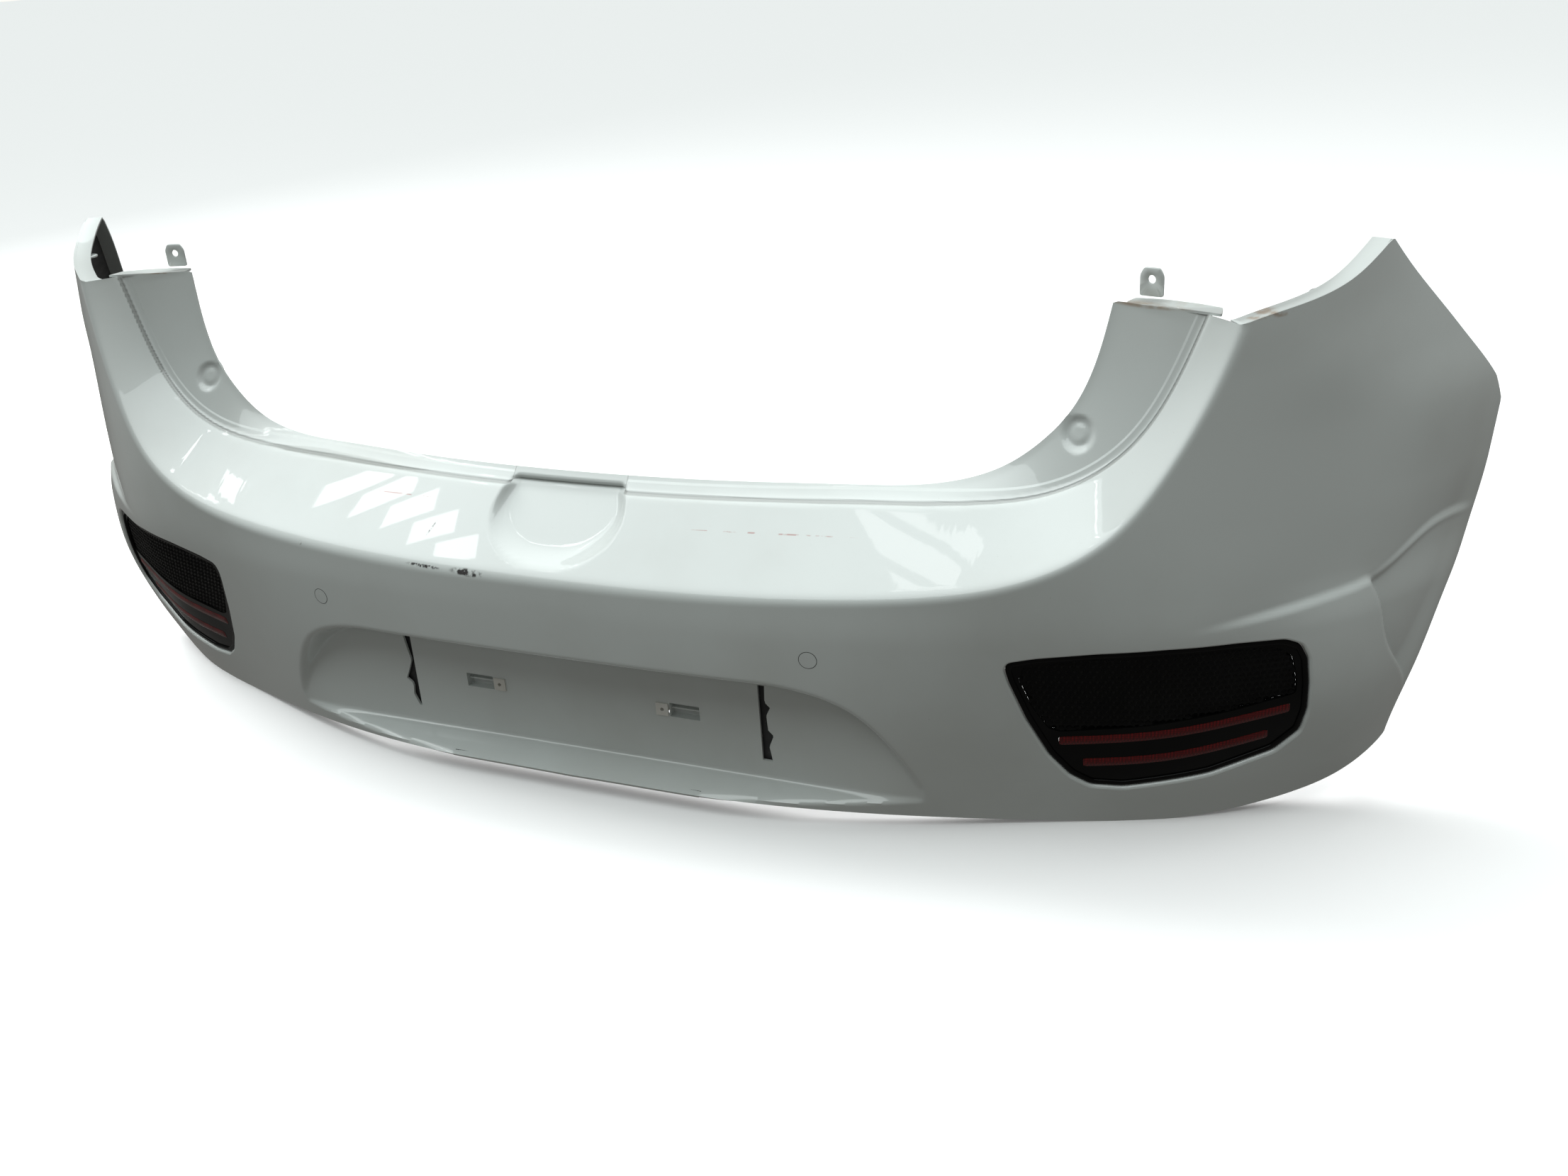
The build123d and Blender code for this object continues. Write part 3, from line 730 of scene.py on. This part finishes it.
def makePlastic(name, colour, lighter, roughness, grainScale=900, grainDepth=0.15, coat=0.0,
                specular=0.5, dusty=0.12):
    # Moulded plastic: fine grain, slight blotches and a duller, dusty haze.
    material, tree, shader, coords = nodeMaterial(name)
    blotch = remap(tree, noise(tree, coords, 14, 5), 0.35, 0.7)
    mixed = mixColour(tree, blotch, colour, lighter)
    dust = remap(tree, noise(tree, coords, 160, 3), 0.6, 0.8)
    mixed = mixColour(tree, mathNode(tree, "MULTIPLY", dust, dusty), mixed, (0.35, 0.33, 0.3))
    tree.links.new(mixed, shader.inputs["Base Color"])
    smear = noise(tree, coords, 22, 5, (1, 1, 4))
    tree.links.new(remap(tree, smear, 0.3, 0.7, roughness[0], roughness[1]), shader.inputs["Roughness"])
    shader.inputs["Coat Weight"].default_value = coat
    shader.inputs["Coat Roughness"].default_value = 0.06
    shader.inputs["Specular IOR Level"].default_value = specular
    bump(tree, shader, noise(tree, coords, grainScale, 3), grainDepth, 0.0004)
    return material


def makeRedLens():
    # Red reflector: rows of small prisms under a clear face.
    material, tree, shader, coords = nodeMaterial("redLens")
    mapping = tree.nodes.new("ShaderNodeMapping")
    mapping.inputs["Rotation"].default_value = (0, 0, math.radians(20))
    tree.links.new(coords, mapping.inputs["Vector"])
    cells = tree.nodes.new("ShaderNodeTexVoronoi")
    cells.inputs["Scale"].default_value = 420
    cells.inputs["Randomness"].default_value = 0.15
    tree.links.new(mapping.outputs["Vector"], cells.inputs["Vector"])
    facet = remap(tree, cells.outputs["Distance"], 0.1, 0.7)
    colour = mixColour(tree, facet, (0.16, 0.004, 0.005), (0.05, 0.0015, 0.002))
    tree.links.new(colour, shader.inputs["Base Color"])
    smear = noise(tree, coords, 40, 4)
    tree.links.new(remap(tree, smear, 0.3, 0.7, 0.12, 0.3), shader.inputs["Roughness"])
    shader.inputs["Coat Weight"].default_value = 0.15
    shader.inputs["Coat Roughness"].default_value = 0.05
    shader.inputs["Specular IOR Level"].default_value = 0.25
    bump(tree, shader, cells.outputs["Distance"], 0.25, 0.0006)
    return material


def makeMetal(name, colour, roughness):
    material, tree, shader, coords = nodeMaterial(name)
    blotch = remap(tree, noise(tree, coords, 90, 4), 0.3, 0.7)
    darker = tuple(c * 0.7 for c in colour)
    tree.links.new(mixColour(tree, blotch, colour, darker), shader.inputs["Base Color"])
    shader.inputs["Metallic"].default_value = 1.0
    tree.links.new(remap(tree, blotch, 0, 1, *roughness), shader.inputs["Roughness"])
    return material


def makeGlass():
    material, tree, shader, coords = nodeMaterial("bulbGlass")
    haze = remap(tree, noise(tree, coords, 60, 3), 0.3, 0.7, 0.02, 0.12)
    tree.links.new(haze, shader.inputs["Roughness"])
    shader.inputs["Base Color"].default_value = (0.95, 0.96, 0.95, 1)
    shader.inputs["Transmission Weight"].default_value = 1.0
    shader.inputs["IOR"].default_value = 1.47
    return material


whitePaint = makePaint()
rawPlastic = makePlastic("rawPlastic", (0.022, 0.023, 0.024), (0.034, 0.035, 0.036), (0.5, 0.72),
                         500, 0.3)
finishes = {
    "white_paint": whitePaint,
    "gloss_black": makePlastic("glossBlack", (0.002, 0.002, 0.002), (0.004, 0.004, 0.004), (0.1, 0.24),
                               300, 0.04, 0.05, 0.1, 0.0),
    "satin_black": makePlastic("satinBlack", (0.0025, 0.0025, 0.0026), (0.005, 0.005, 0.005), (0.25, 0.4),
                               900, 0.1, 0.0, 0.12, 0.0),
    "red_lens": makeRedLens(),
    "grey_plastic": makePlastic("greyPlastic", (0.16, 0.165, 0.17), (0.20, 0.205, 0.21), (0.45, 0.65)),
    "black_plastic": makePlastic("blackPlastic", (0.020, 0.020, 0.021), (0.032, 0.032, 0.033), (0.42, 0.62)),
    "black_rubber": makePlastic("blackRubber", (0.014, 0.014, 0.014), (0.022, 0.022, 0.022), (0.7, 0.88),
                                260, 0.3),
    "bulb_glass": makeGlass(),
    "zinc_steel": makeMetal("zincSteel", (0.62, 0.61, 0.57), (0.28, 0.5)),
    "sensor_white": makePlastic("sensorWhite", paint["colour"], (0.54, 0.57, 0.555), (0.14, 0.28),
                                260, 0.03, 0.5),
    "ring_black": makePlastic("ringBlack", (0.015, 0.015, 0.016), (0.025, 0.025, 0.025), (0.5, 0.7)),
    "natural_nylon": makePlastic("naturalNylon", (0.72, 0.72, 0.68), (0.60, 0.59, 0.54), (0.35, 0.55),
                                 400, 0.2),
}
nodeFinish = {
    "bumper_cover": "white_paint", "fog_bezel": "gloss_black", "mesh_insert": "satin_black",
    "upper_reflector": "red_lens", "lower_reflector": "red_lens", "lamp_housing": "grey_plastic",
    "bulb_socket": "black_plastic", "socket_gasket": "black_rubber", "fog_bulb": "bulb_glass",
    "lamp_screws": "zinc_steel", "sensor_body": "sensor_white", "sensor_ring": "ring_black",
    "sensor_bracket": "black_plastic", "plate_nut": "natural_nylon",
}
for nodeName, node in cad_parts.items():
    finish = finishes[nodeFinish[nodeName.replace("_right", "").replace("_left", "")]]
    if not node.material_slots:
        node.data.materials.append(finish)
    for slot in node.material_slots:
        slot.material = finish
print("materials made")


def coverHoles():
    height = plateSlots["height"]
    holes = []
    for side in (-1, 1):
        holes.append(circleLoop(side * plateSlots["sensorPlace"], skin["sensorHeight"],
                                plateSlots["sensorRadius"]))
        holes.append(boxLoop(side * plateSlots["windowPlace"], height, *plateSlots["windowSize"]))
        nut = plateSlots["nutSize"]
        holes.append(boxLoop(side * plateSlots["nutPlace"], height, nut, nut))
    for side in ("right", "left"):
        outline = np.array(plateSlots[side], float)
        holes.append(straightThrough(np.concatenate([outline, outline[:1]]), 2)[:-1])
    unrolledHoles = []
    for hole in holes:
        sign = np.sign(hole[:, 0].mean())
        flat = unrolled(np.stack([hole[:, 0] * sign, hole[:, 1]], axis=1), 0)
        unrolledHoles.append(np.stack([flat[:, 0] * sign, flat[:, 1]], axis=1))
    return unrolledHoles


def pastGroove(points):  # 100 plus the distance inwards of the groove line, up to 20 either way
    x, z = points[:, 0], points[:, 2]
    distance = np.clip(nearest(grooveRail, x, z)[0], -20, 20)
    return np.where(np.abs(x) > shelf["scoop"][0][0] + 3, 100 + distance, 80)


def makeCover():
    # A grid over the unrolled skin, cut along the cover's edges; three pieces keep the mesh counts down.
    cell = edges["cell"]
    heights = np.arange(-cell, 590 + 2 * cell, cell)
    columns = int(round(edges["centreReach"] / cell))
    centreAlongs = np.arange(-columns - 1, columns + 2) * cell
    reach = halfOutline[:, 0].max()
    cornerColumns = int((reach - columns * cell) / cell) + 3
    cornerAlongs = (np.arange(-1, cornerColumns) + columns) * cell
    lampHole = offsetLoop(bezelPath, lampOpening["edgeRadius"])
    materials = [whitePaint, rawPlastic]
    u, z, faces = cutGrid(centreAlongs, heights, coverOutline, coverHoles())
    points, faces, slots = closedShell(coverPoint(u, z), faces, skin["wall"])
    makePiece("coverCentre", points, faces, materials, slots, replaced=("bumper_cover",),
              groove=pastGroove(points))
    print("cover centre", len(faces), "faces")
    u, z, faces = cutGrid(cornerAlongs, heights, coverOutline, [lampHole])
    points, faces, slots = closedShell(coverPoint(u, z), faces, skin["wall"])
    makePair("coverCorner", points, faces, materials, slots, replaced=("bumper_cover",),
             groove=pastGroove(points))
    print("cover corners", len(faces), "faces each")


makeCover()


def sweptLoop(loop, profile):
    # A closed profile of (outwards, inwards from the skin) carried round a closed loop on the skin.
    rings = []
    for outwards, inset in profile:
        ring = offsetLoop(loop, outwards)
        rings.append(skinInset(ring[:, 0], ring[:, 1], inset))
    faces = gridFaces(len(profile), len(loop), closeColumns=True, closeRows=True)
    return np.concatenate(rings), faces


def roundTurn(centre, radius, start, end, steps=5):  # points on an arc of a profile, angles in degrees
    angle = np.radians(np.linspace(start, end, steps))
    return [(centre[0] + radius * math.cos(a), centre[1] + radius * math.sin(a)) for a in angle]


def makeOpeningEdge():
    # The painted edge rolls over 3 mm into each lamp opening and runs 12 mm deep.
    radius = lampOpening["edgeRadius"]
    profile = [(radius + 0.8, 1.0), (radius + 0.4, 0.05)]
    profile += roundTurn((radius + 0.4, radius), radius, -90, -180, 6)
    profile += [(0.4, 12.0), (1.4, 12.6), (3.0, 12.0), (3.4, 4.0)]
    points, faces = sweptLoop(bezelPath, profile)
    makePair("openingEdge", points, faces[:, ::-1], [whitePaint], sharp=60)


def sheetPatch(outline, holes, cell, inset, thickness):
    # A layer of the skin inside an outline on the unrolled skin; inset is a function of (along, height).
    low, high = outline.min(axis=0) - 2 * cell, outline.max(axis=0) + 2 * cell
    alongs = np.arange(low[0], high[0] + 2 * cell, cell)
    u, z, faces = cutGrid(alongs, np.arange(low[1], high[1] + cell, cell), outline, holes)
    return closedShell(skinInset(u, z, inset(u, z)), faces, thickness)


bezel = {
    "face": 5.2,
    "beadWidth": 6.0,
    "beadTop": 3.0,
    "honeycomb": 7.4,
    "wallWidth": 1.5,
    "cellDepth": 1.9,
    "lensFace": 5.0,
    "lensCrown": 0.9,
    "fitGap": 0.15,
}


def hexDistance(u, z, pitch):  # 0 at a cell's middle, 1 on its walls, for a lattice of hexagons
    size = np.array([pitch, pitch * math.sqrt(3)])
    q = np.stack([u, z], axis=1)
    first = np.mod(q, size) - size / 2
    second = np.mod(q - size / 2, size) - size / 2
    nearer = np.where((np.sum(first**2, 1) < np.sum(second**2, 1))[:, None], first, second)
    nearer = np.abs(nearer)
    return np.maximum(nearer[:, 0], nearer[:, 0] / 2 + nearer[:, 1] * math.sqrt(3) / 2) / (pitch / 2)


def stripLoop(start, end):  # a lens strip: a band that sags between two ends
    share = np.linspace(0, 1, 40)
    x = start[0] + share * (end[0] - start[0])
    z = start[1] + share * (end[1] - start[1]) - lampOpening["stripBow"] * 4 * share * (1 - share)
    half = lampOpening["stripHeight"] / 2
    loop = np.concatenate([np.stack([x, z - half], 1), np.stack([x, z + half], 1)[::-1]])
    return roundedLoop(loop, 1.2, 2)


def makeLampFront():
    # Gloss frame with a rounded bead, honeycomb panel and two red lens strips.
    meshLoop = unrolled(roundedLoop(lampOpening["meshOutline"]), 0)
    stripLoops = [unrolled(stripLoop(*ends), 0) for ends in lampOpening["strips"]]
    face = bezel["face"]
    points, faces, slots = sheetPatch(offsetLoop(bezelPath, -0.6), [meshLoop] + stripLoops, 2.0,
                                      lambda u, z: np.full(len(u), face), 3.4)
    bead = bezel["beadWidth"]
    top = bezel["beadTop"]
    profile = [(-0.2, 11.5), (-0.2, top + 1.6)] + roundTurn((-1.8, top + 1.6), 1.6, 0, -90, 5)
    profile += roundTurn((-bead + 1.6, top + 1.6), 1.6, -90, -180, 5)
    profile += [(-bead, face + 0.6), (-bead + 1.5, 11.5)]
    ring, ringFaces = sweptLoop(bezelPath, profile)
    allPoints = np.concatenate([points, ring])
    allFaces = np.concatenate([faces, ringFaces + len(points)])
    makePair("fogBezel", allPoints, allFaces, [finishes["gloss_black"]],
             replaced=("fog_bezel",))

    def combInset(u, z):
        pitch = bezel["honeycomb"]
        wall = ease((hexDistance(u, z, pitch) - 1 + 2 * bezel["wallWidth"] / pitch) * 4)
        return 6.6 + bezel["cellDepth"] * (1 - wall)

    points, faces, slots = sheetPatch(offsetLoop(meshLoop, -bezel["fitGap"]), [], 1.15, combInset, 0.5)
    makePair("honeycomb", points, faces, [finishes["satin_black"]], sharp=70,
             replaced=("mesh_insert",))
    print("honeycomb", len(faces), "faces each")
    lenses = (("upperLens", "upper_reflector"), ("lowerLens", "lower_reflector"))
    for (name, node), stripPath in zip(lenses, stripLoops):
        loop = offsetLoop(stripPath, -bezel["fitGap"])

        def crown(u, z, loop=loop):
            edge = np.abs(nearest(loop, u, z, closed=True)[0])
            return bezel["lensFace"] - bezel["lensCrown"] * ease(edge / 4)

        points, faces, slots = sheetPatch(loop, [], 1.5, crown, 3.0)
        makePair(name, points, faces, [finishes["red_lens"]], replaced=(node,))


def makeFlanges():
    # Ledges 19 mm deep behind the seam, wheel arch and bottom edges: a thin profile carried along each edge.
    width, thick, lift = edges["flange"], edges["flangeThick"], edges["flangeLift"]
    buried = 0.5 * skin["wall"]
    seamRun = np.concatenate([seamPath[::-1], quarterPath[::-1][1:]])
    runs = (("seamFlange", seamRun, 1, whitePaint), ("archFlange", archPath, -1, rawPlastic),
            ("bottomFlange", bottomPath, -1, rawPlastic))
    for name, path, side, material in runs:
        run = np.gradient(path, axis=0)
        run /= np.linalg.norm(run, axis=1)[:, None]
        towards = side * np.stack([run[:, 1], -run[:, 0]], axis=1)
        inPath = path + lift * towards
        inwards = skinInset(inPath[:, 0], inPath[:, 1], 1.0) - skinInset(inPath[:, 0], inPath[:, 1], 0.0)
        inwards *= np.array([1, 1, 0])
        inwards /= np.linalg.norm(inwards, axis=1)[:, None]
        outer = coverPoint(inPath[:, 0], inPath[:, 1]) + buried * inwards
        deep = path + (lift + thick) * towards
        under = coverPoint(deep[:, 0], deep[:, 1]) + buried * inwards
        rows = [outer, outer + width * 0.97 * inwards, outer + width * inwards + 0.15 * (under - outer),
                under + width * inwards, under]
        points = np.concatenate(rows)
        columns = len(path)
        faces = gridFaces(len(rows), columns, closeRows=True)
        caps = np.arange(len(rows))[:, None] * columns
        ends = [caps[[0, 1, 3, 4], 0][::-1], caps[[0, 1, 3, 4], 0] + columns - 1]
        faces = np.concatenate([faces, np.array(ends)])
        if side > 0:
            faces = faces[:, ::-1]
        makePair(name, points, faces, [material])
    print("flanges made")


def holedPlate(outline, radius, thickness, origin, axisX, axisZ, bevel=0.5):
    # A flat plate with a round hole: rings from the hole to the outline, front and back, in one closed loop.
    angle = np.arctan2(outline[:, 1], outline[:, 0])
    hole = radius * np.stack([np.cos(angle), np.sin(angle)], axis=1)
    axisX, axisZ = np.array(axisX, float), np.array(axisZ, float)
    normal = np.cross(axisX, axisZ)
    outer = outline * (1 - bevel / np.linalg.norm(outline, axis=1))[:, None]
    wider = hole * (radius + bevel) / radius
    half = thickness / 2
    rows = []
    for flat, level in ((hole, half - bevel), (wider, half), (outer, half), (outline, half - bevel),
                        (outline, bevel - half), (outer, -half), (wider, -half), (hole, bevel - half)):
        rows.append(np.array(origin) + flat[:, :1] * axisX + flat[:, 1:] * axisZ + level * normal)
    return np.concatenate(rows), gridFaces(8, len(outline), closeColumns=True, closeRows=True)


def boxMesh(low, high):
    x, y, z = zip(low, high)
    points = np.array([(a, b, c) for c in z for b in y for a in x], float)
    faces = np.array([(0, 2, 3, 1), (4, 5, 7, 6), (0, 1, 5, 4), (2, 6, 7, 3), (0, 4, 6, 2), (1, 3, 7, 5)])
    return points, faces


def joined(meshes):
    points, faces, first = [], [], 0
    for meshPoints, meshFaces in meshes:
        points.append(meshPoints)
        faces.append(meshFaces + first)
        first += len(meshPoints)
    return np.concatenate(points), np.concatenate(faces)


def makeTabs():
    # The pillar's ledge with its upright tab, and the ear behind the seam.
    middle = skin["midDepth"]
    tab = roundedLoop([(-12, -16), (12, -16), (12, 4), (8, 11), (-8, 11), (-12, 4)], 1.2, 2)
    points, faces = holedPlate(tab, 4.0, 2.6, (593.6, 194.2 - middle, 558), (0.96, -0.28, 0), (0, 0, 1))
    ledge = roundedLoop([(572, 181), (600, 171), (646, 156), (664, 148), (662, 172), (640, 184), (608, 196),
                         (578, 200)], 4, 1)
    bottom = np.column_stack([ledge[:, 0], ledge[:, 1] - middle, np.full(len(ledge), 536.5)])
    top = bottom + np.array([0, 0, 2.4])
    centre = bottom.mean(axis=0)
    rows = [centre + (bottom - centre) * 0.02, bottom, top, centre + (top - centre) * 0.02]
    plate = (np.concatenate(rows), gridFaces(4, len(ledge), closeColumns=True, closeRows=True)[:, ::-1])
    points, faces = joined([(points, faces[:, ::-1]), plate])
    makePair("pillarTab", points, faces, [whitePaint])
    ear = circleLoop(0, 0, 13, 40)
    points, faces = holedPlate(ear, 4.5, 2.6, (746, 198 - middle, 549.6), (1, 0, 0), (0, 1, 0))
    makePair("seamEar", points, faces[:, ::-1], [whitePaint])


def makePlateWindows():
    # Shallow moulded pockets behind the two plate windows, and a dark plate behind the torn slots as painted
    # shade for their shadowed inside.
    depth = plateRecess["depth"] - skin["midDepth"]
    height = plateSlots["height"]
    w, h = plateSlots["windowSize"]
    low, high = plateSlots["windowPlace"] - w / 2 - 0.3, plateSlots["windowPlace"] + w / 2 + 0.3
    near, far = depth + 2.2, depth + 13
    bottom, top = height - h / 2 - 0.3, height + h / 2 + 0.3
    walls = [
        boxMesh((low - 1.6, near, bottom - 1.6), (low, far, top + 1.6)),
        boxMesh((high, near, bottom - 1.6), (high + 1.6, far, top + 1.6)),
        boxMesh((low, near, top), (high, far, top + 1.6)),
        boxMesh((low, near, bottom - 1.6), (high, far, bottom)),
        boxMesh((low, far - 1.6, bottom), (high, far, top)),
        boxMesh((low, depth + 6, height - 1), (high, far - 1.6, height + 0.6)),
    ]
    points, faces = joined(walls)
    makePair("windowPocket", points, faces, [whitePaint])
    # Painted shade: a dark raw-plastic plate behind each torn slot stands in for the shadow inside the
    # cover.
    points, faces = boxMesh((206, depth + 5.5, 50), (252, depth + 7, 158))
    makePair("slotBacking", points, faces, [rawPlastic])


makeOpeningEdge()
makeLampFront()
makeFlanges()
makeTabs()
makePlateWindows()


def lookMatrix(yaw, pitch, roll):  # camera axes from a heading to the left, a downward tilt and a roll
    forward = Vector((-math.sin(yaw) * math.cos(pitch), math.cos(yaw) * math.cos(pitch), -math.sin(pitch)))
    right = Vector((math.cos(yaw), math.sin(yaw), 0))
    up = right.cross(forward)
    tiltedRight = math.cos(roll) * right + math.sin(roll) * up
    tiltedUp = -math.sin(roll) * right + math.cos(roll) * up
    return Matrix((tiltedRight, tiltedUp, -forward)).transposed()


view = {
    "place": (0.82531, -1.40111, 0.88897),
    "yaw": 24.1415,
    "pitch": 24.2557,
    "roll": -3.97,
    "lens": 34.18,
}
cameraData = bpy.data.cameras.new("camera")
cameraData.lens = view["lens"]
cameraData.sensor_width = 36
camera = bpy.data.objects.new("camera", cameraData)
camera.matrix_world = Matrix.Translation(view["place"]) @ lookMatrix(
    *(math.radians(view[key]) for key in ("yaw", "pitch", "roll"))).to_4x4()
bpy.context.scene.collection.objects.link(camera)
bpy.context.scene.camera = camera

studio = {
    "world": (1.0, 0.985, 0.93),
    "worldStrength": 0.16,
    "backdrop": 1.0,
    "sunStrength": 2.35,
    "sunAngle": 75,
    "sunColour": (0.93, 1.0, 1.0),
    "floorGlow": 0.1,
    "panels": [  # name, place, aims at, size across and along, watts
        ("overhead", (0.0, 1.2, 3.2), (0.0, 0.0, 0.3), (3.0, 1.6), 34),
        ("leftWall", (-3.0, 0.7, 2.3), (0.3, 0.0, 0.4), (1.8, 1.4), 110),
        ("rightWall", (3.0, 0.9, 2.9), (-0.4, 0.0, 0.4), (1.6, 1.4), 22),
        ("front", (1.2, -3.0, 1.5), (0.2, 0.0, 0.2), (2.0, 1.2), 4),
    ],
    "skylights": [  # middle, size of a pane, step from pane to pane, panes, watts each
        ((-0.37, -0.75), (0.10, 0.085), (0.0, -0.115), 4, 0.06),
        ((-2.70, -0.92), (0.24, 0.100), (0.15, -0.130), 5, 0.36),
        ((-1.75, -0.86), (0.07, 0.070), (0.03, -0.110), 3, 0.12),
        ((-2.19, -0.02), (0.09, 0.060), (0.0, -0.090), 5, 0.12),
    ],
    "roof": 3.2,
}


def addPanel(name, place, target, size, watts, mirrored=False):
    data = bpy.data.lights.new(name, "AREA")
    data.shape = "RECTANGLE"
    data.size, data.size_y = size
    data.energy = watts
    lamp = bpy.data.objects.new(name, data)
    lamp.location = place
    lamp.visible_glossy = mirrored
    lamp.rotation_euler = (Vector(target) - Vector(place)).to_track_quat("-Z", "Y").to_euler()
    bpy.context.scene.collection.objects.link(lamp)


for panel in studio["panels"]:
    addPanel(*panel)
for middle, size, step, panes, watts in studio["skylights"]:
    for pane in range(panes):
        along = pane - (panes - 1) / 2
        place = (middle[0] + along * step[0], middle[1] + along * step[1], studio["roof"])
        addPanel("skylight", place, (place[0], place[1], 0), size, watts, True)
sunData = bpy.data.lights.new("daylight", "SUN")
sunData.energy = studio["sunStrength"]
sunData.color = studio["sunColour"]
sunData.angle = math.radians(studio["sunAngle"])
daylight = bpy.data.objects.new("daylight", sunData)
daylight.rotation_euler = (math.radians(8), math.radians(-10), 0)
bpy.context.scene.collection.objects.link(daylight)
world = bpy.data.worlds.new("studio")
world.use_nodes = True
tree = world.node_tree
sky = tree.nodes["Background"]
sky.inputs["Color"].default_value = (*studio["world"], 1)
seen = tree.nodes.new("ShaderNodeLightPath")
level = tree.nodes.new("ShaderNodeMapRange")
level.inputs["To Min"].default_value = studio["worldStrength"]
level.inputs["To Max"].default_value = studio["backdrop"]
tree.links.new(seen.outputs["Is Camera Ray"], level.inputs["Value"])
tree.links.new(level.outputs["Result"], sky.inputs["Strength"])
bpy.context.scene.world = world
bpy.context.scene.view_settings.view_transform = "Standard"

floorMesh = bpy.data.meshes.new("floor")
floorMesh.from_pydata([(-40, -40, 0), (40, -40, 0), (40, 40, 0), (-40, 40, 0)], [], [(0, 1, 2, 3)])
floor = bpy.data.objects.new("floor", floorMesh)
bpy.context.scene.collection.objects.link(floor)
floorMaterial, tree, shader, coords = nodeMaterial("paleFloor")
shader.inputs["Base Color"].default_value = (0.9, 0.9, 0.9, 1)
shader.inputs["Roughness"].default_value = 0.8
shader.inputs["Emission Color"].default_value = (1, 1, 1, 1)
shader.inputs["Emission Strength"].default_value = studio["floorGlow"]
floor.visible_diffuse = False
floor.visible_glossy = False
floorMesh.materials.append(floorMaterial)
print("studio made")
